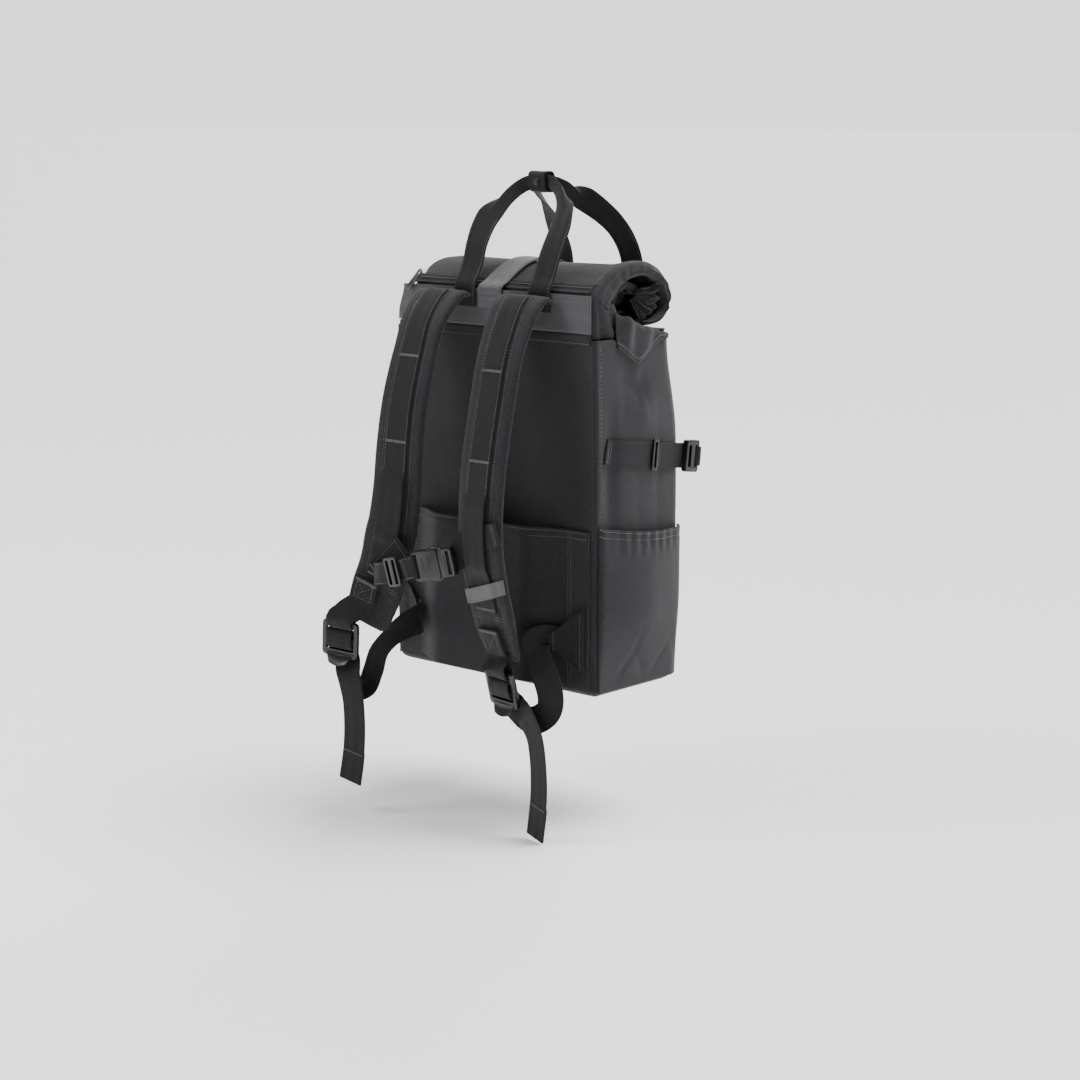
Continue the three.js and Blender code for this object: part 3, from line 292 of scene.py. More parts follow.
finishes = {
    "packCloth": clothMaterial("packCloth", {
        "pattern": "plain", "follows": "uv", "count": 1150, "wearSize": 14, "toneShare": 0.22, "rough": 0.8,
        "dark": (0.0035, 0.0036, 0.0045), "light": (0.0265, 0.027, 0.0305), "sheen": 0.14, "specular": 0.26,
        "relief": 0.8, "slub": 0.5, "bump": 0.55}),
    "strapWebbing": clothMaterial("strapWebbing", {
        "pattern": "twill", "follows": "uv", "count": 360, "wearSize": 20, "toneShare": 0.45, "rough": 0.74,
        "dark": (0.0006, 0.0006, 0.0009), "light": (0.0125, 0.0128, 0.0152), "sheen": 0.1, "specular": 0.24,
        "relief": 1.0, "slub": 0.3, "bump": 0.9}),
    # A lighter copy of the strap webbing, with painted light: its colour ramp is raised to stand in for the light and
    # sheen from above on the top band and the closure strap
    "paintedLightWebbing": clothMaterial("paintedLightWebbing", {
        "pattern": "twill", "follows": "uv", "count": 330, "wearSize": 20, "toneShare": 0.45, "rough": 0.58,
        "dark": (0.006, 0.0062, 0.0075), "light": (0.056, 0.057, 0.064), "sheen": 0.45, "specular": 0.45,
        "relief": 1.0, "slub": 0.3, "bump": 0.9}),
    "spacerMesh": clothMaterial("spacerMesh", {
        "pattern": "mesh", "follows": "uv", "count": 330, "wearSize": 20, "toneShare": 0.5, "rough": 0.9,
        "dark": (0.003, 0.003, 0.004), "light": (0.020, 0.0205, 0.023), "sheen": 0.15, "specular": 0.2,
        "relief": 1.6, "slub": 0.2, "bump": 1.0}),
    "sewingThread": clothMaterial("sewingThread", {
        "pattern": "plain", "follows": "object", "count": 2600, "wearSize": 40, "toneShare": 0.25, "rough": 0.6,
        "dark": (0.07, 0.071, 0.077), "light": (0.17, 0.172, 0.182), "sheen": 0.1, "specular": 0.4,
        "relief": 0.7, "slub": 0.2, "bump": 0.4}),
    "barePatch": clothMaterial("barePatch", {
        "pattern": "mesh", "follows": "object", "count": 900, "wearSize": 30, "toneShare": 0.12, "rough": 0.46,
        "dark": (0.038, 0.0385, 0.043), "light": (0.066, 0.067, 0.073), "sheen": 0.0, "specular": 0.5,
        "relief": 0.25, "slub": 0.2, "bump": 0.25}),
    "mouldedBlack": hardMaterial("mouldedBlack", {
        "wearSize": 60, "dark": (0.0045, 0.0045, 0.0055), "light": (0.011, 0.011, 0.013), "rough": 0.34,
        "metal": 0.0, "specular": 0.5, "bump": 0.25}),
    "darkMetal": hardMaterial("darkMetal", {
        "wearSize": 80, "dark": (0.10, 0.10, 0.11), "light": (0.19, 0.19, 0.21), "rough": 0.34,
        "metal": 0.9, "specular": 0.5, "bump": 0.15}),
}
print("materials ready")


# Shared ways of making pieces
def onlySelect(obj):
    bpy.ops.object.select_all(action="DESELECT")
    obj.select_set(True)
    bpy.context.view_layer.objects.active = obj


def applyModifiers(obj):
    onlySelect(obj)
    for modifier in list(obj.modifiers):
        bpy.ops.object.modifier_apply(modifier=modifier.name)


def shapedGrid(name, columns, rows, placeAt, sizeAt, closed=False):
    bpy.ops.mesh.primitive_grid_add(x_subdivisions=columns, y_subdivisions=rows, size=1)
    piece = bpy.context.object
    piece.name = name
    piece.data.name = name
    mesh = piece.data
    shares = [(v.co.x + 0.5, v.co.y + 0.5) for v in mesh.vertices]
    width, length = sizeAt
    layer = mesh.uv_layers.active
    for loop in mesh.loops:
        u, w = shares[loop.vertex_index]
        layer.data[loop.index].uv = (u * width * toMetres, w * length * toMetres)
    for v, (u, w) in zip(mesh.vertices, shares):
        v.co = placeAt(u, w) * toMetres
    if closed:
        onlySelect(piece)
        bpy.ops.object.mode_set(mode="EDIT")
        bpy.ops.mesh.select_all(action="SELECT")
        bpy.ops.mesh.remove_doubles(threshold=0.00002)
        bpy.ops.mesh.normals_make_consistent(inside=False)
        bpy.ops.object.mode_set(mode="OBJECT")
    return piece


def finishPiece(piece, finish, nodes=(), smooth=40):
    onlySelect(piece)
    bpy.ops.object.shade_smooth_by_angle(angle=math.radians(smooth))
    if not piece.data.materials:
        piece.data.materials.append(finishes[finish])
    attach(piece, "root")
    if nodes:
        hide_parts(*nodes)
    return piece


def thicken(piece, thick, offset=0.0, bevel=0.45):
    solid = piece.modifiers.new("clothThickness", "SOLIDIFY")
    solid.thickness = thick * toMetres
    solid.offset = offset
    if bevel:
        edge = piece.modifiers.new("softEdge", "BEVEL")
        edge.width = bevel * toMetres
        edge.segments = 2
        edge.limit_method = "ANGLE"
        edge.angle_limit = math.radians(50)
    applyModifiers(piece)
    return piece


def layWebbing(name, line, width, thick=1.8, nodes=(), shape=None, columns=8, ripple=0.18,
               finish="strapWebbing"):
    length = line[-1]["along"]
    seed = len(name) * 3.7

    def place(u, w):
        s = line[int(round(w * (len(line) - 1)))]
        side = (u - 0.5) * width
        lift = ripple * noise.noise(Vector((u * 1.6, s["along"] * 0.03, seed)))
        if shape:
            side, more = shape(s, side)
            lift += more
        return s["p"] + s["a"] * side + s["n"] * lift

    piece = shapedGrid(name, columns, len(line) - 1, place, (width, length))
    thicken(piece, thick - 0.3)
    return finishPiece(piece, finish, nodes)


def roundedCopy(name, node, bevel, finish):
    source = nodeObjects[node]
    piece = bpy.data.objects.new(name, source.data.copy())
    bpy.context.scene.collection.objects.link(piece)
    piece.data.materials.clear()
    onlySelect(piece)
    bpy.ops.object.mode_set(mode="EDIT")
    bpy.ops.mesh.select_all(action="SELECT")
    bpy.ops.mesh.remove_doubles(threshold=0.00002)
    bpy.ops.mesh.dissolve_limited(angle_limit=math.radians(2))
    bpy.ops.object.mode_set(mode="OBJECT")
    edge = piece.modifiers.new("moulded", "BEVEL")
    edge.width = bevel * toMetres
    edge.segments = 3
    edge.limit_method = "ANGLE"
    edge.angle_limit = math.radians(32)
    applyModifiers(piece)
    return finishPiece(piece, finish, [node], smooth=32)


# Sewing: every stitch is a copy of one small thread lump
sewing = {"pitch": 3.4, "long": 2.5, "wide": 0.8, "high": 0.6}
stitchRows = {}


def sew(group, spots):
    stitchRows.setdefault(group, []).extend(spots)


def sewStraight(group, start, end, normal, pitch=None):
    pitch = pitch or sewing["pitch"]
    length = (end - start).length
    count = max(int(length / pitch), 1)
    way = (end - start).normalized()
    sew(group, [(start.lerp(end, (i + 0.5) / count), way, normal) for i in range(count)])


def sewAlong(group, line, side, lift, start, end, pitch=None):
    pitch = pitch or sewing["pitch"]
    total = line[-1]["along"]
    count = max(int((end - start) * total / pitch), 1)
    for i in range(count):
        p, way, across, normal = spotOn(line, mix(start, end, (i + 0.5) / count), side, lift)
        sew(group, [(p, way, normal)])


def sewAcross(group, line, share, sideFrom, sideTo, lift, pitch=None, slope=0.0):
    pitch = pitch or sewing["pitch"]
    total = line[-1]["along"]
    count = max(int(abs(sideTo - sideFrom) / pitch), 1)
    for i in range(count):
        side = mix(sideFrom, sideTo, (i + 0.5) / count)
        p, way, across, normal = spotOn(line, share + slope * side / total, side, lift)
        sew(group, [(p, across, normal)])


def sewBox(group, line, start, end, half, lift):
    total = line[-1]["along"]
    for side in (-half, half):
        sewAlong(group, line, side, lift, start, end, 2.8)
    for share in (start, end):
        sewAcross(group, line, share, -half, half, lift, 2.8)
    steps = max(int((end - start) * total / 2.6), 2)
    for turn in (-1, 1):
        ends = [spotOn(line, mix(start, end, (i + 0.5) / steps), turn * mix(-half, half, (i + 0.5) / steps), lift)
                for i in range(steps)]
        for here, there in zip(ends, ends[1:]):
            sew(group, [(here[0], (there[0] - here[0]).normalized(), here[3])])


def barTack(group, line, share, half, lift, slope=0.0, rows=3):
    total = line[-1]["along"]
    for k in range(rows):
        sewAcross(group, line, share + k * 1.0 / total, -half, half, lift, 1.7, slope)


# Pack body: a lofted shell, open at its rim, with the lie and creases of the cloth
packBody = {
    "halfWidth": 157, "depth": 154, "backCorner": 7, "frontCorner": 26, "rimHigh": 404, "rimDip": 24, "rimLip": 3,
    "topNarrow": 13, "baseRound": 16, "frontBulge": 14, "sideBulge": 4, "cloth": 2.3,
}
bodyDents = [
    ("right", 0.14, 0.62, 0.08, 0.16, 4), ("right", 0.62, 0.8, 0.16, 0.07, -3), ("right", 0.5, 0.9, 0.22, 0.05, 5),
    ("left", 0.84, 0.6, 0.08, 0.18, 4), ("left", 0.45, 0.88, 0.2, 0.06, 5),
    ("front", 0.3, 0.7, 0.14, 0.1, 4), ("front", 0.72, 0.55, 0.12, 0.14, 4), ("front", 0.5, 0.9, 0.4, 0.06, 5),
]
# Narrow creases: face, place on it, height, half-length, half-width, lean, depth in millimetres
bodyCreases = [
    ("right", 0.1, 0.55, 0.12, 0.022, 0.05, 1.0), ("right", 0.16, 0.6, 0.09, 0.03, -0.15, -0.8),
    ("right", 0.35, 0.86, 0.07, 0.02, 0.35, 1.5), ("right", 0.68, 0.84, 0.08, 0.025, -0.3, 1.6),
    ("right", 0.8, 0.6, 0.2, 0.03, 0.06, 1.2), ("right", 0.5, 0.55, 0.12, 0.03, -0.12, 0.9),
    ("left", 0.3, 0.84, 0.08, 0.025, 0.3, 1.5), ("left", 0.75, 0.6, 0.15, 0.03, -0.08, 1.4),
    ("left", 0.5, 0.55, 0.12, 0.03, 0.1, 1.0), ("front", 0.25, 0.6, 0.2, 0.02, 0.1, 2.0),
    ("front", 0.62, 0.75, 0.14, 0.022, -0.2, 1.8), ("front", 0.8, 0.4, 0.16, 0.02, 0.15, 1.6),
    ("front", 0.42, 0.35, 0.12, 0.02, -0.25, 1.4),
]


def bodySkin(face, at, z, inset=0.0):
    b = packBody
    high = z / b["rimHigh"]
    narrow = b["topNarrow"] * ease((high - 0.7) / 0.3)
    half = b["halfWidth"] - inset - 0.15 * narrow
    rear = 10 + inset
    front = 10 + b["depth"] - inset - narrow + 4 * hump(high * 1.1)
    rb = max(b["backCorner"] - inset, 3)
    rf = max(b["frontCorner"] - inset, 3)
    turn = math.pi / 2 * at
    x = y = 0.0
    nx = ny = 0.0
    if face == "back":
        x, y, ny = mix(-(half - rb), half - rb, at), rear, -1.0
    if face == "front":
        x = mix(half - rf, -(half - rf), at)
        y = front + b["frontBulge"] * hump(at) * ease(high * 5) * (1 - 0.4 * high)
        ny = 1.0
    if face in ("right", "left"):
        s = 1 if face == "right" else -1
        share = at if s > 0 else 1 - at
        x = s * (half + b["sideBulge"] * hump(share) * ease(high * 4) * (1 - 0.3 * high))
        y = mix(rear + rb, front - rf, share)
        nx = s
    if face == "corner0":
        x, y = half - rb + rb * math.sin(turn), rear + rb - rb * math.cos(turn)
        nx, ny = math.sin(turn), -math.cos(turn)
    if face == "corner1":
        x, y = half - rf + rf * math.cos(turn), front - rf + rf * math.sin(turn)
        nx, ny = math.cos(turn), math.sin(turn)
    if face == "corner2":
        x, y = -(half - rf) - rf * math.sin(turn), front - rf + rf * math.cos(turn)
        nx, ny = -math.sin(turn), math.cos(turn)
    if face == "corner3":
        x, y = -(half - rb) - rb * math.cos(turn), rear + rb - rb * math.sin(turn)
        nx, ny = -math.cos(turn), -math.sin(turn)
    for name, place, level, wide, tall, deep in bodyDents:
        if name == face:
            depth = deep * math.exp(-((at - place) / wide) ** 2 - ((high - level) / tall) ** 2) * min(1, 6 * hump(at))
            x -= nx * depth
            y -= ny * depth
    return Vector((x, y, z)), Vector((nx, ny, 0))


def rimDrop(face, at):
    if face in ("right", "left"):
        share = at if face == "right" else 1 - at
        return packBody["rimDip"] * max(0, 1 - abs(share - 0.56) / 0.36)
    return packBody["rimLip"] if face == "front" else 0.0


def bodyRound():
    spots = []
    for face, start, end, steps in (("back", 0.5, 1, 16), ("corner0", 0, 1, 8), ("right", 0, 1, 30),
                                    ("corner1", 0, 1, 12), ("front", 0, 1, 46), ("corner2", 0, 1, 12),
                                    ("left", 0, 1, 30), ("corner3", 0, 1, 8), ("back", 0, 0.5, 16)):
        spots += [(face, mix(start, end, i / steps)) for i in range(steps)]
    return spots + [spots[0]]


roundSpots = bodyRound()
bodyRows = [("base", k / 7) for k in range(7)] + [("edge", k / 8) for k in range(8)] + [
    ("wall", mix(0.04, 1.0, k / 110)) for k in range(111)]


def bodyPlace(u, w):
    face, at = roundSpots[int(round(u * (len(roundSpots) - 1)))]
    kind, share = bodyRows[int(round(w * (len(bodyRows) - 1)))]
    rim, baseRound = packBody["rimHigh"], packBody["baseRound"]
    if kind == "base":
        ring, n = bodySkin(face, at, 0, baseRound * 0.6)
        middle = Vector((0, 87, 0))
        p = middle.lerp(ring, share)
        return Vector((p.x, p.y, 0.5 * hump(share)))
    if kind == "edge":
        inset = (1 - share) ** 4 * baseRound * 0.6
        p, n = bodySkin(face, at, share * baseRound, inset)
        return p
    p, n = bodySkin(face, at, rim * share)
    lie = 0.7 * noise.noise(Vector((p.x * 0.016, p.y * 0.016, p.z * 0.011)))
    for name, place, level, tall, wide, lean, deep in bodyCreases:
        if name == face:
            across = (at - place - lean * (share - level)) / wide
            upward = (share - level) / tall
            if abs(across) < 5 and abs(upward) < 2:
                lie -= deep * 0.62 * math.exp(-across * across / 3 - upward * upward) * min(1, 8 * hump(at))
    if face == "back":
        lie = min(lie, 0.2) * 0.3  # the stiff back panel
    if face in ("corner0", "corner3"):
        lie = 0.9 * hump(at)  # the seam's ridge
    p += n * (lie - 0.2)
    p.z -= rimDrop(face, at) * ease((share - 0.7) / 0.3)
    return p


def buildBody():
    piece = shapedGrid("packShell", len(roundSpots) - 1, len(bodyRows) - 1, bodyPlace, (960, 450), closed=True)
    solid = piece.modifiers.new("clothThickness", "SOLIDIFY")
    solid.thickness = packBody["cloth"] * toMetres
    solid.offset = -1
    applyModifiers(piece)
    finishPiece(piece, "packCloth", ["pack_body"], smooth=60)
    for side in (1, -1):
        spots = [bodySkin("right", 0.012, mix(206, 396, i / 40))[0] for i in range(41)]
        spots = [Vector((side * (p.x + 0.15), p.y, p.z)) for p in spots]
        for a, b in zip(spots, spots[1:]):
            sewStraight("bodySeams", a, b, Vector((side, 0, 0)))
    print("pack body built")


# Roll top: cloth rolled towards the front, puffed at its ends
rollTop = {"high": 483, "halfWidth": 155, "thick": 3.2, "endThick": 8.6, "tuck": 15, "sag": 2, "depth": 138}
rollRows = [
    (0.009, 0.012), (0.009, 0.34), (0.02, 0.6), (0.09, 0.72), (0.18, 0.82), (0.28, 0.92), (0.4, 0.985), (0.53, 1),
    (0.69, 0.97), (0.85, 0.84), (0.96, 0.62), (0.995, 0.38), (0.94, 0.18), (0.81, 0.09), (0.63, 0.12), (0.46, 0.22),
    (0.36, 0.4), (0.4, 0.62), (0.54, 0.76), (0.69, 0.7), (0.81, 0.54), (0.83, 0.38), (0.73, 0.28),
]
rollPath = [Vector((0, 10 + deep * rollTop["depth"], 404 + high * (rollTop["high"] - 404)))
            for deep, high in rollRows]
rollLine = laidLine(rollPath, [Vector((1, 0, 0))], 2.4)
outerShare = 13 / (len(rollRows) - 1)


def rollSpot(share, along):
    at = min(max(share, 0), 1) * (len(rollLine) - 1)
    low = min(int(at), len(rollLine) - 2)
    a, b = rollLine[low], rollLine[low + 1]
    p = a["p"].lerp(b["p"], at - low)
    t = a["t"].lerp(b["t"], at - low).normalized()
    n = Vector((0, t.z, -t.y))
    end = ease((abs(along) - 0.7) / 0.3)
    firstTurn = 1 - ease((share - outerShare * 0.86) / 0.16)
    thick = rollTop["thick"] + (rollTop["endThick"] - rollTop["thick"]) * end * firstTurn * ease(share / 0.2)
    crown = 8 if along > 0 else -5
    upper = ease((share - 0.1) / 0.3) * (1 - ease((share - 0.5) / 0.2))
    p = p.copy()
    p.x = along * rollTop["halfWidth"] + (rollTop["tuck"] if along < 0 else 0) * end * ease(share / 0.16)
    p.z -= (rollTop["sag"] * (1 - abs(along)) - crown * end) * upper
    return p, n, thick, end


def rollStation(w):
    # closer together towards the two ends
    a = 2 * w - 1
    return math.copysign(1 - (1 - abs(a)) ** 1.35, a)


# How thick the puffed mouth of the roll is, by share of its length
rollPuff = [(0, 60), (0.035, 53), (0.07, 45), (0.1, 37), (0.15, 29), (0.2, 24), (0.29, 20), (0.4, 16), (0.5, 11),
            (0.58, 7), (0.66, 4), (1, 3.4)]


def puffAt(share):
    for (a, fa), (b, fb) in zip(rollPuff, rollPuff[1:]):
        if share <= b:
            return mix(fa, fb, (share - a) / (b - a))
    return rollPuff[-1][1]


def buildRoll():
    steps = 130
    mouth = 15

    def place(u, w):
        along = rollStation(w)
        outer = u <= 0.5
        share = u * 2 if outer else 2 - u * 2
        p, n, thick, end = rollSpot(share, along)
        puff = ease((abs(along) - 0.84) / 0.13)
        thick = mix(thick, puffAt(share), puff)
        inside = ease((share - 0.6) / 0.1)
        shrink = 0.3 * puff * inside
        p.y = mix(p.y, 112, shrink)
        p.z = mix(p.z, 430, shrink)
        toEdge = (1 - abs(along)) * rollTop["halfWidth"]
        rounded = math.sqrt(max(0.0, 1 - (1 - min(toEdge / mouth, 1)) ** 2))
        depth = thick / 2 * (1 - rounded) if outer else thick - thick / 2 * (1 - rounded)
        across = depth / thick
        crumple = noise.noise(Vector((share * 22, across * 2.2, 4.1 + along)))
        small = noise.noise(Vector((share * 55, along * 9, 9.3)))
        pleat = math.sin(across * 15 + 5 * noise.noise(Vector((share * 7, 0, 2.7)))) * (1 - rounded)
        long = noise.noise(Vector((share * 14, along * 1.4, 2.2)))
        lie = 0.45 * long + (0.3 + 0.9 * end) * crumple * ease(share / 0.12) + 0.6 * end * small * ease(share / 0.12)
        folded = math.sin(share * 88 + 3 * crumple)
        lie += (6 * crumple + 5 * folded) * puff * inside
        side = (pleat - 0.8) * 2.6 * puff * hump(across) - puff * inside * (24 + 5 * crumple)
        base = 1 - ease((share - 0.22) / 0.12)
        for middle, lean, wide, deep in ((0.4, 0.8, 0.05, 4.5), (0.62, -0.5, 0.04, 3.5), (0.24, 0.4, 0.035, 2.5)):
            side -= puff * base * deep * math.exp(-((across - middle - lean * share) / wide) ** 2)
        side -= puff * 3 * abs(small) * (1 - rounded)
        spot = p + n * (depth - lie * 0.5 + 0.15)
        spot.x += min(side, 1.5) * (1 if along > 0 else -1)
        if along < 0:
            spot.x += 9 * end * ease((share - 0.03) / 0.09) * (1 - ease((share - 0.12) / 0.1))
        return spot

    piece = shapedGrid("rollTop", steps * 2, 96, place, (rollLine[-1]["along"] * 2, 310), closed=True)
    finishPiece(piece, "packCloth", ["roll_top"], smooth=70)
    for side in (1, -1):
        for k in range(8, 120):
            p, n, thick, end = rollSpot(k / 200, side * 0.895)
            q = rollSpot(k / 200 + 0.005, side * 0.895)[0]
            sew("rollSeams", [(p - n * 0.15, (q - p).normalized(), -n)])
    for side, name in ((1, "mouthPleatsRight"), (-1, "mouthPleatsLeft")):
        buildPleats(side, name)
    print("roll top built")


# Crumpled inner cloth in the mouth of the roll, spread like a fan
pleats = {"y": 97, "z": 449, "near": 7, "far": 35, "from": 0.55, "to": -1.75, "folds": 6}


def buildPleats(side, name):
    def place(u, w):
        turn = mix(pleats["from"], pleats["to"], u) + 0.12 * noise.noise(Vector((w * 4, u * 3, 1.5)))
        fold = abs((u * pleats["folds"]) % 1 - 0.5) * 4 - 1
        reach = mix(pleats["near"], pleats["far"] - 3 * noise.noise(Vector((u * 8, 0, 3))), w)
        x = 131 + 17 * w + 4 * fold * (0.4 + 0.6 * w) + 2.4 * noise.noise(Vector((u * 9, w * 4, 7)))
        if w > 0.85:
            x -= 40 * (w - 0.85)
        if side < 0:
            x -= 13  # this end of the roll is tucked in
        return Vector((side * x, pleats["y"] + reach * math.cos(turn), pleats["z"] + 0.8 * reach * math.sin(turn)))

    piece = shapedGrid(name, 120, 26, place, (120, 40))
    thicken(piece, 1.1, 0.0, 0.3)
    finishPiece(piece, "packCloth", smooth=50)


# Collar folds: the cloth between the rim's dip and the mouth of the roll, turned inward at each side
collar = {"from": 44, "to": 131, "dip": 24}
collarTops = [(44, 432), (56, 428), (72, 421), (90, 415), (110, 409), (131, 404)]
collarSection = [(1.3, 0, -7), (2.4, 0, 1), (3.2, 1, -4), (1.6, 1, 0), (-0.2, 1, -3), (-4.5, 1, -12), (-10, 0, -20)]


def collarTop(y):
    for (a, fa), (b, fb) in zip(collarTops, collarTops[1:]):
        if y <= b:
            return mix(fa, fb, ease((y - a) / (b - a)))
    return collarTops[-1][1]


def buildCollarFold(side, name, node):
    def place(u, w):
        y = mix(collar["from"], collar["to"], u)
        at = min(max((y - 17) / 108, 0), 1)
        skin = bodySkin("right", at, 404)[0].x
        rim = 404 - collar["dip"] * max(0, 1 - abs(at - 0.56) / 0.36)
        level = w * (len(collarSection) - 1)
        low = min(int(level), len(collarSection) - 2)
        k = ease(level - low) * 0.4 + (level - low) * 0.6
        spots = [(skin + o, (collarTop(y) if high else rim) + up) for o, high, up in collarSection[low:low + 2]]
        x, z = mix(spots[0][0], spots[1][0], k), mix(spots[0][1], spots[1][1], k)
        tuck = max(0, 0.16 - u) * 20 * ease(w * 3)
        vee = 1.8 * math.sin((u * 5.2 - w * 1.4) * math.pi) * hump(min(w * 1.5, 1)) * (1 - 0.5 * u)
        vee += 1.5 * noise.noise(Vector((u * 6, w * 3, 8.2))) * hump(w)
        return Vector((side * (x - tuck + vee), y + 0.8 * vee, z + 0.7 * vee * w))

    piece = shapedGrid(name, 70, 44, place, (90, 70))
    thicken(piece, 1.6, 0.0, 0.4)
    finishPiece(piece, "packCloth", [node], smooth=70)
    seam = [place(i / 40, 0.13) + Vector((side * 1.2, 0, 0)) for i in range(41)]
    for a, b in zip(seam, seam[1:]):
        sew("collarSeams", [(a.lerp(b, 0.5), (b - a).normalized(), Vector((side, 0, 0)))])


# The collar's front cloth, from the front rim back under the roll, and the tape over the rear joint
frontCloth = [(153.6, 392), (152.6, 402), (147, 407.5), (125, 406), (97, 407.5), (76, 412), (64, 420), (60, 431)]
rearTape = {"low": 398.5, "high": 410, "half": 148}


def buildCollarCloth():
    line = laidLine([Vector((0, y, z)) for y, z in frontCloth], [Vector((1, 0, 0))], 3)

    def place(u, w):
        s = line[int(round(w * (len(line) - 1)))]
        x = mix(-1, 1, u) * mix(128, 143, ease(w * 5))
        bulge = 12.5 * hump(u) * (1 - ease(w * 7))
        wave = 0.7 * noise.noise(Vector((u * 9, w * 4, 6.6)))
        return s["p"] + Vector((x, bulge, 0)) + s["n"] * wave

    piece = shapedGrid("collarFront", 90, len(line) - 1, place, (290, 120))
    thicken(piece, 1.6, 0.0, 0.4)
    finishPiece(piece, "packCloth", smooth=60)

    def tape(u, w):
        return backSpot(mix(-rearTape["half"], rearTape["half"], u), 0.75 + 0.3 * hump(w),
                        mix(rearTape["low"], rearTape["high"], w))

    joint = shapedGrid("rearJointTape", 100, 6, tape, (300, 11.5))
    thicken(joint, 0.7, 0.0, 0.2)
    finishPiece(joint, "packCloth")
    sewStraight("bandStitches", backSpot(-146, 1.5, 400.5), backSpot(146, 1.5, 400.5), Vector((0, -1, 0)))


# Luggage sleeve: sewn flat at its sides, standing off between the seams
sleeve = {"half": 121, "flatHalf": 149, "low": 12, "high": 191, "stand": 22, "cloth": 2.2}


def sleeveOut(x):
    return 0.3 + sleeve["stand"] * ease((sleeve["half"] - abs(x)) / 58)


def buildSleeve():
    def place(u, w):
        x = mix(-sleeve["flatHalf"], sleeve["flatHalf"], u)
        z = mix(sleeve["low"], sleeve["high"], w)
        open_ = ease((sleeve["half"] - abs(x)) / 58)
        out = sleeveOut(x) + 2.5 * hump(w) * open_ + sleeve["cloth"] / 2 + 0.1
        out += open_ * 0.9 * noise.noise(Vector((x * 0.02, z * 0.013, 3)))
        out += open_ * 0.7 * math.exp(-((w - 0.94) / 0.025) ** 2)  # folded hem
        return backSpot(x, out, z)

    piece = shapedGrid("luggageSleeve", 120, 60, place, (310, 179))
    thicken(piece, 1.9, 0.0, 0.5)
    finishPiece(piece, "packCloth", ["luggage_sleeve"], smooth=60)
    count = 90
    for low in (2.5, 9.5):
        for i in range(count):
            x = mix(-145, 145, (i + 0.5) / count)
            z = sleeve["high"] - low
            share = (z - 12) / 179
            out = sleeveOut(x) + 2.5 * hump(share) * ease((sleeve["half"] - abs(x)) / 58) + sleeve["cloth"] + 0.35
            here = backSpot(x, out, z)
            slope = (sleeveOut(x + 1) - sleeveOut(x - 1)) / 2
            sew("sleeveStitches", [(here, Vector((1, -slope, 0)).normalized(), Vector((-slope, -1, 0)).normalized())])
    for side in (-1, 1):
        for x in (118, 122):
            foot, top = backSpot(side * x, 2.9, 14), backSpot(side * x, 2.9, 188)
            sewStraight("sleeveStitches", foot, top, Vector((0, -1, 0)))
    print("luggage sleeve built")


# Side pockets: gathered at the hem, open above
pocket = {"hemBack": 198, "hemFront": 181, "low": 6, "bulge": 12, "cloth": 2.0}
# Place across, height, lean and depth of each wrinkle
pocketWrinkles = [(0.3, 0.12, 0.8, 0.96), (0.5, 0.1, -0.7, 1.08), (0.68, 0.14, 0.9, 0.9), (0.85, 0.2, -0.5, 0.84),
                  (0.42, 0.3, 0.4, 0.54)]


def pocketSpots():
    spots = [("corner0", mix(0.75, 1, i / 4)) for i in range(4)] + [("right", i / 44) for i in range(44)]
    return spots + [("corner1", mix(0, 0.5, i / 10)) for i in range(11)]


def pocketPlace(side, u, w, more=0.0):
    spots = pocketSpots()
    k = int(round(u * (len(spots) - 1)))
    face, at = spots[k]
    # the share across counts the spots of the solid's own pocket
    if face == "corner0":
        across = (at - 0.75) / 0.25 / 11
    elif face == "right":
        across = (1 + at * 8) / 11
    else:
        across = (9 + at / 0.5 * 2) / 11
    hem = mix(pocket["hemBack"], pocket["hemFront"], across) - 5 * hump(across)
    z = mix(pocket["low"], hem, w)
    p, n = bodySkin(face, at, z)
    gather = (0.9 * math.cos(across * math.pi * 22) * hump(across)) * ease((w - 0.8) / 0.14)
    lift = 0.5 + pocket["bulge"] * hump(across) ** 0.75 * ease(w * 1.7) * (1 - 0.25 * w) + gather
    lift += 0.9 * noise.noise(Vector((p.y * 0.03, z * 0.02, 5.5))) * hump(across) * ease(w * 4)
    for place, level, lean, deep in pocketWrinkles:
        off = (across - place - lean * (w - level)) / 0.035
        lift -= deep * math.exp(-off * off - ((w - level) / 0.12) ** 2)
    lift -= 0.8 * math.exp(-((w - 0.945) / 0.012) ** 2)  # stitched hem channel
    lift = max(lift, 0.4) + pocket["cloth"] / 2 + more
    q = p + n * lift
    return Vector((side * q.x, q.y, q.z)), Vector((side * n.x, n.y, 0))


def buildPocket(side, name, node):
    piece = shapedGrid(name, len(pocketSpots()) - 1, 90, lambda u, w: pocketPlace(side, u, w)[0], (190, 185))
    thicken(piece, 1.7, 0.0, 0.5)
    finishPiece(piece, "packCloth", [node], smooth=60)
    for w in (0.985, 0.945):
        for i in range(52):
            u = (i + 0.5) / 52
            here, n = pocketPlace(side, u, w, 1.1)
            there = pocketPlace(side, min(u + 0.02, 1), w, 1.1)[0]
            if (there - here).length > 0.01:
                sew(name + "Stitches", [(here, (there - here).normalized(), n)])


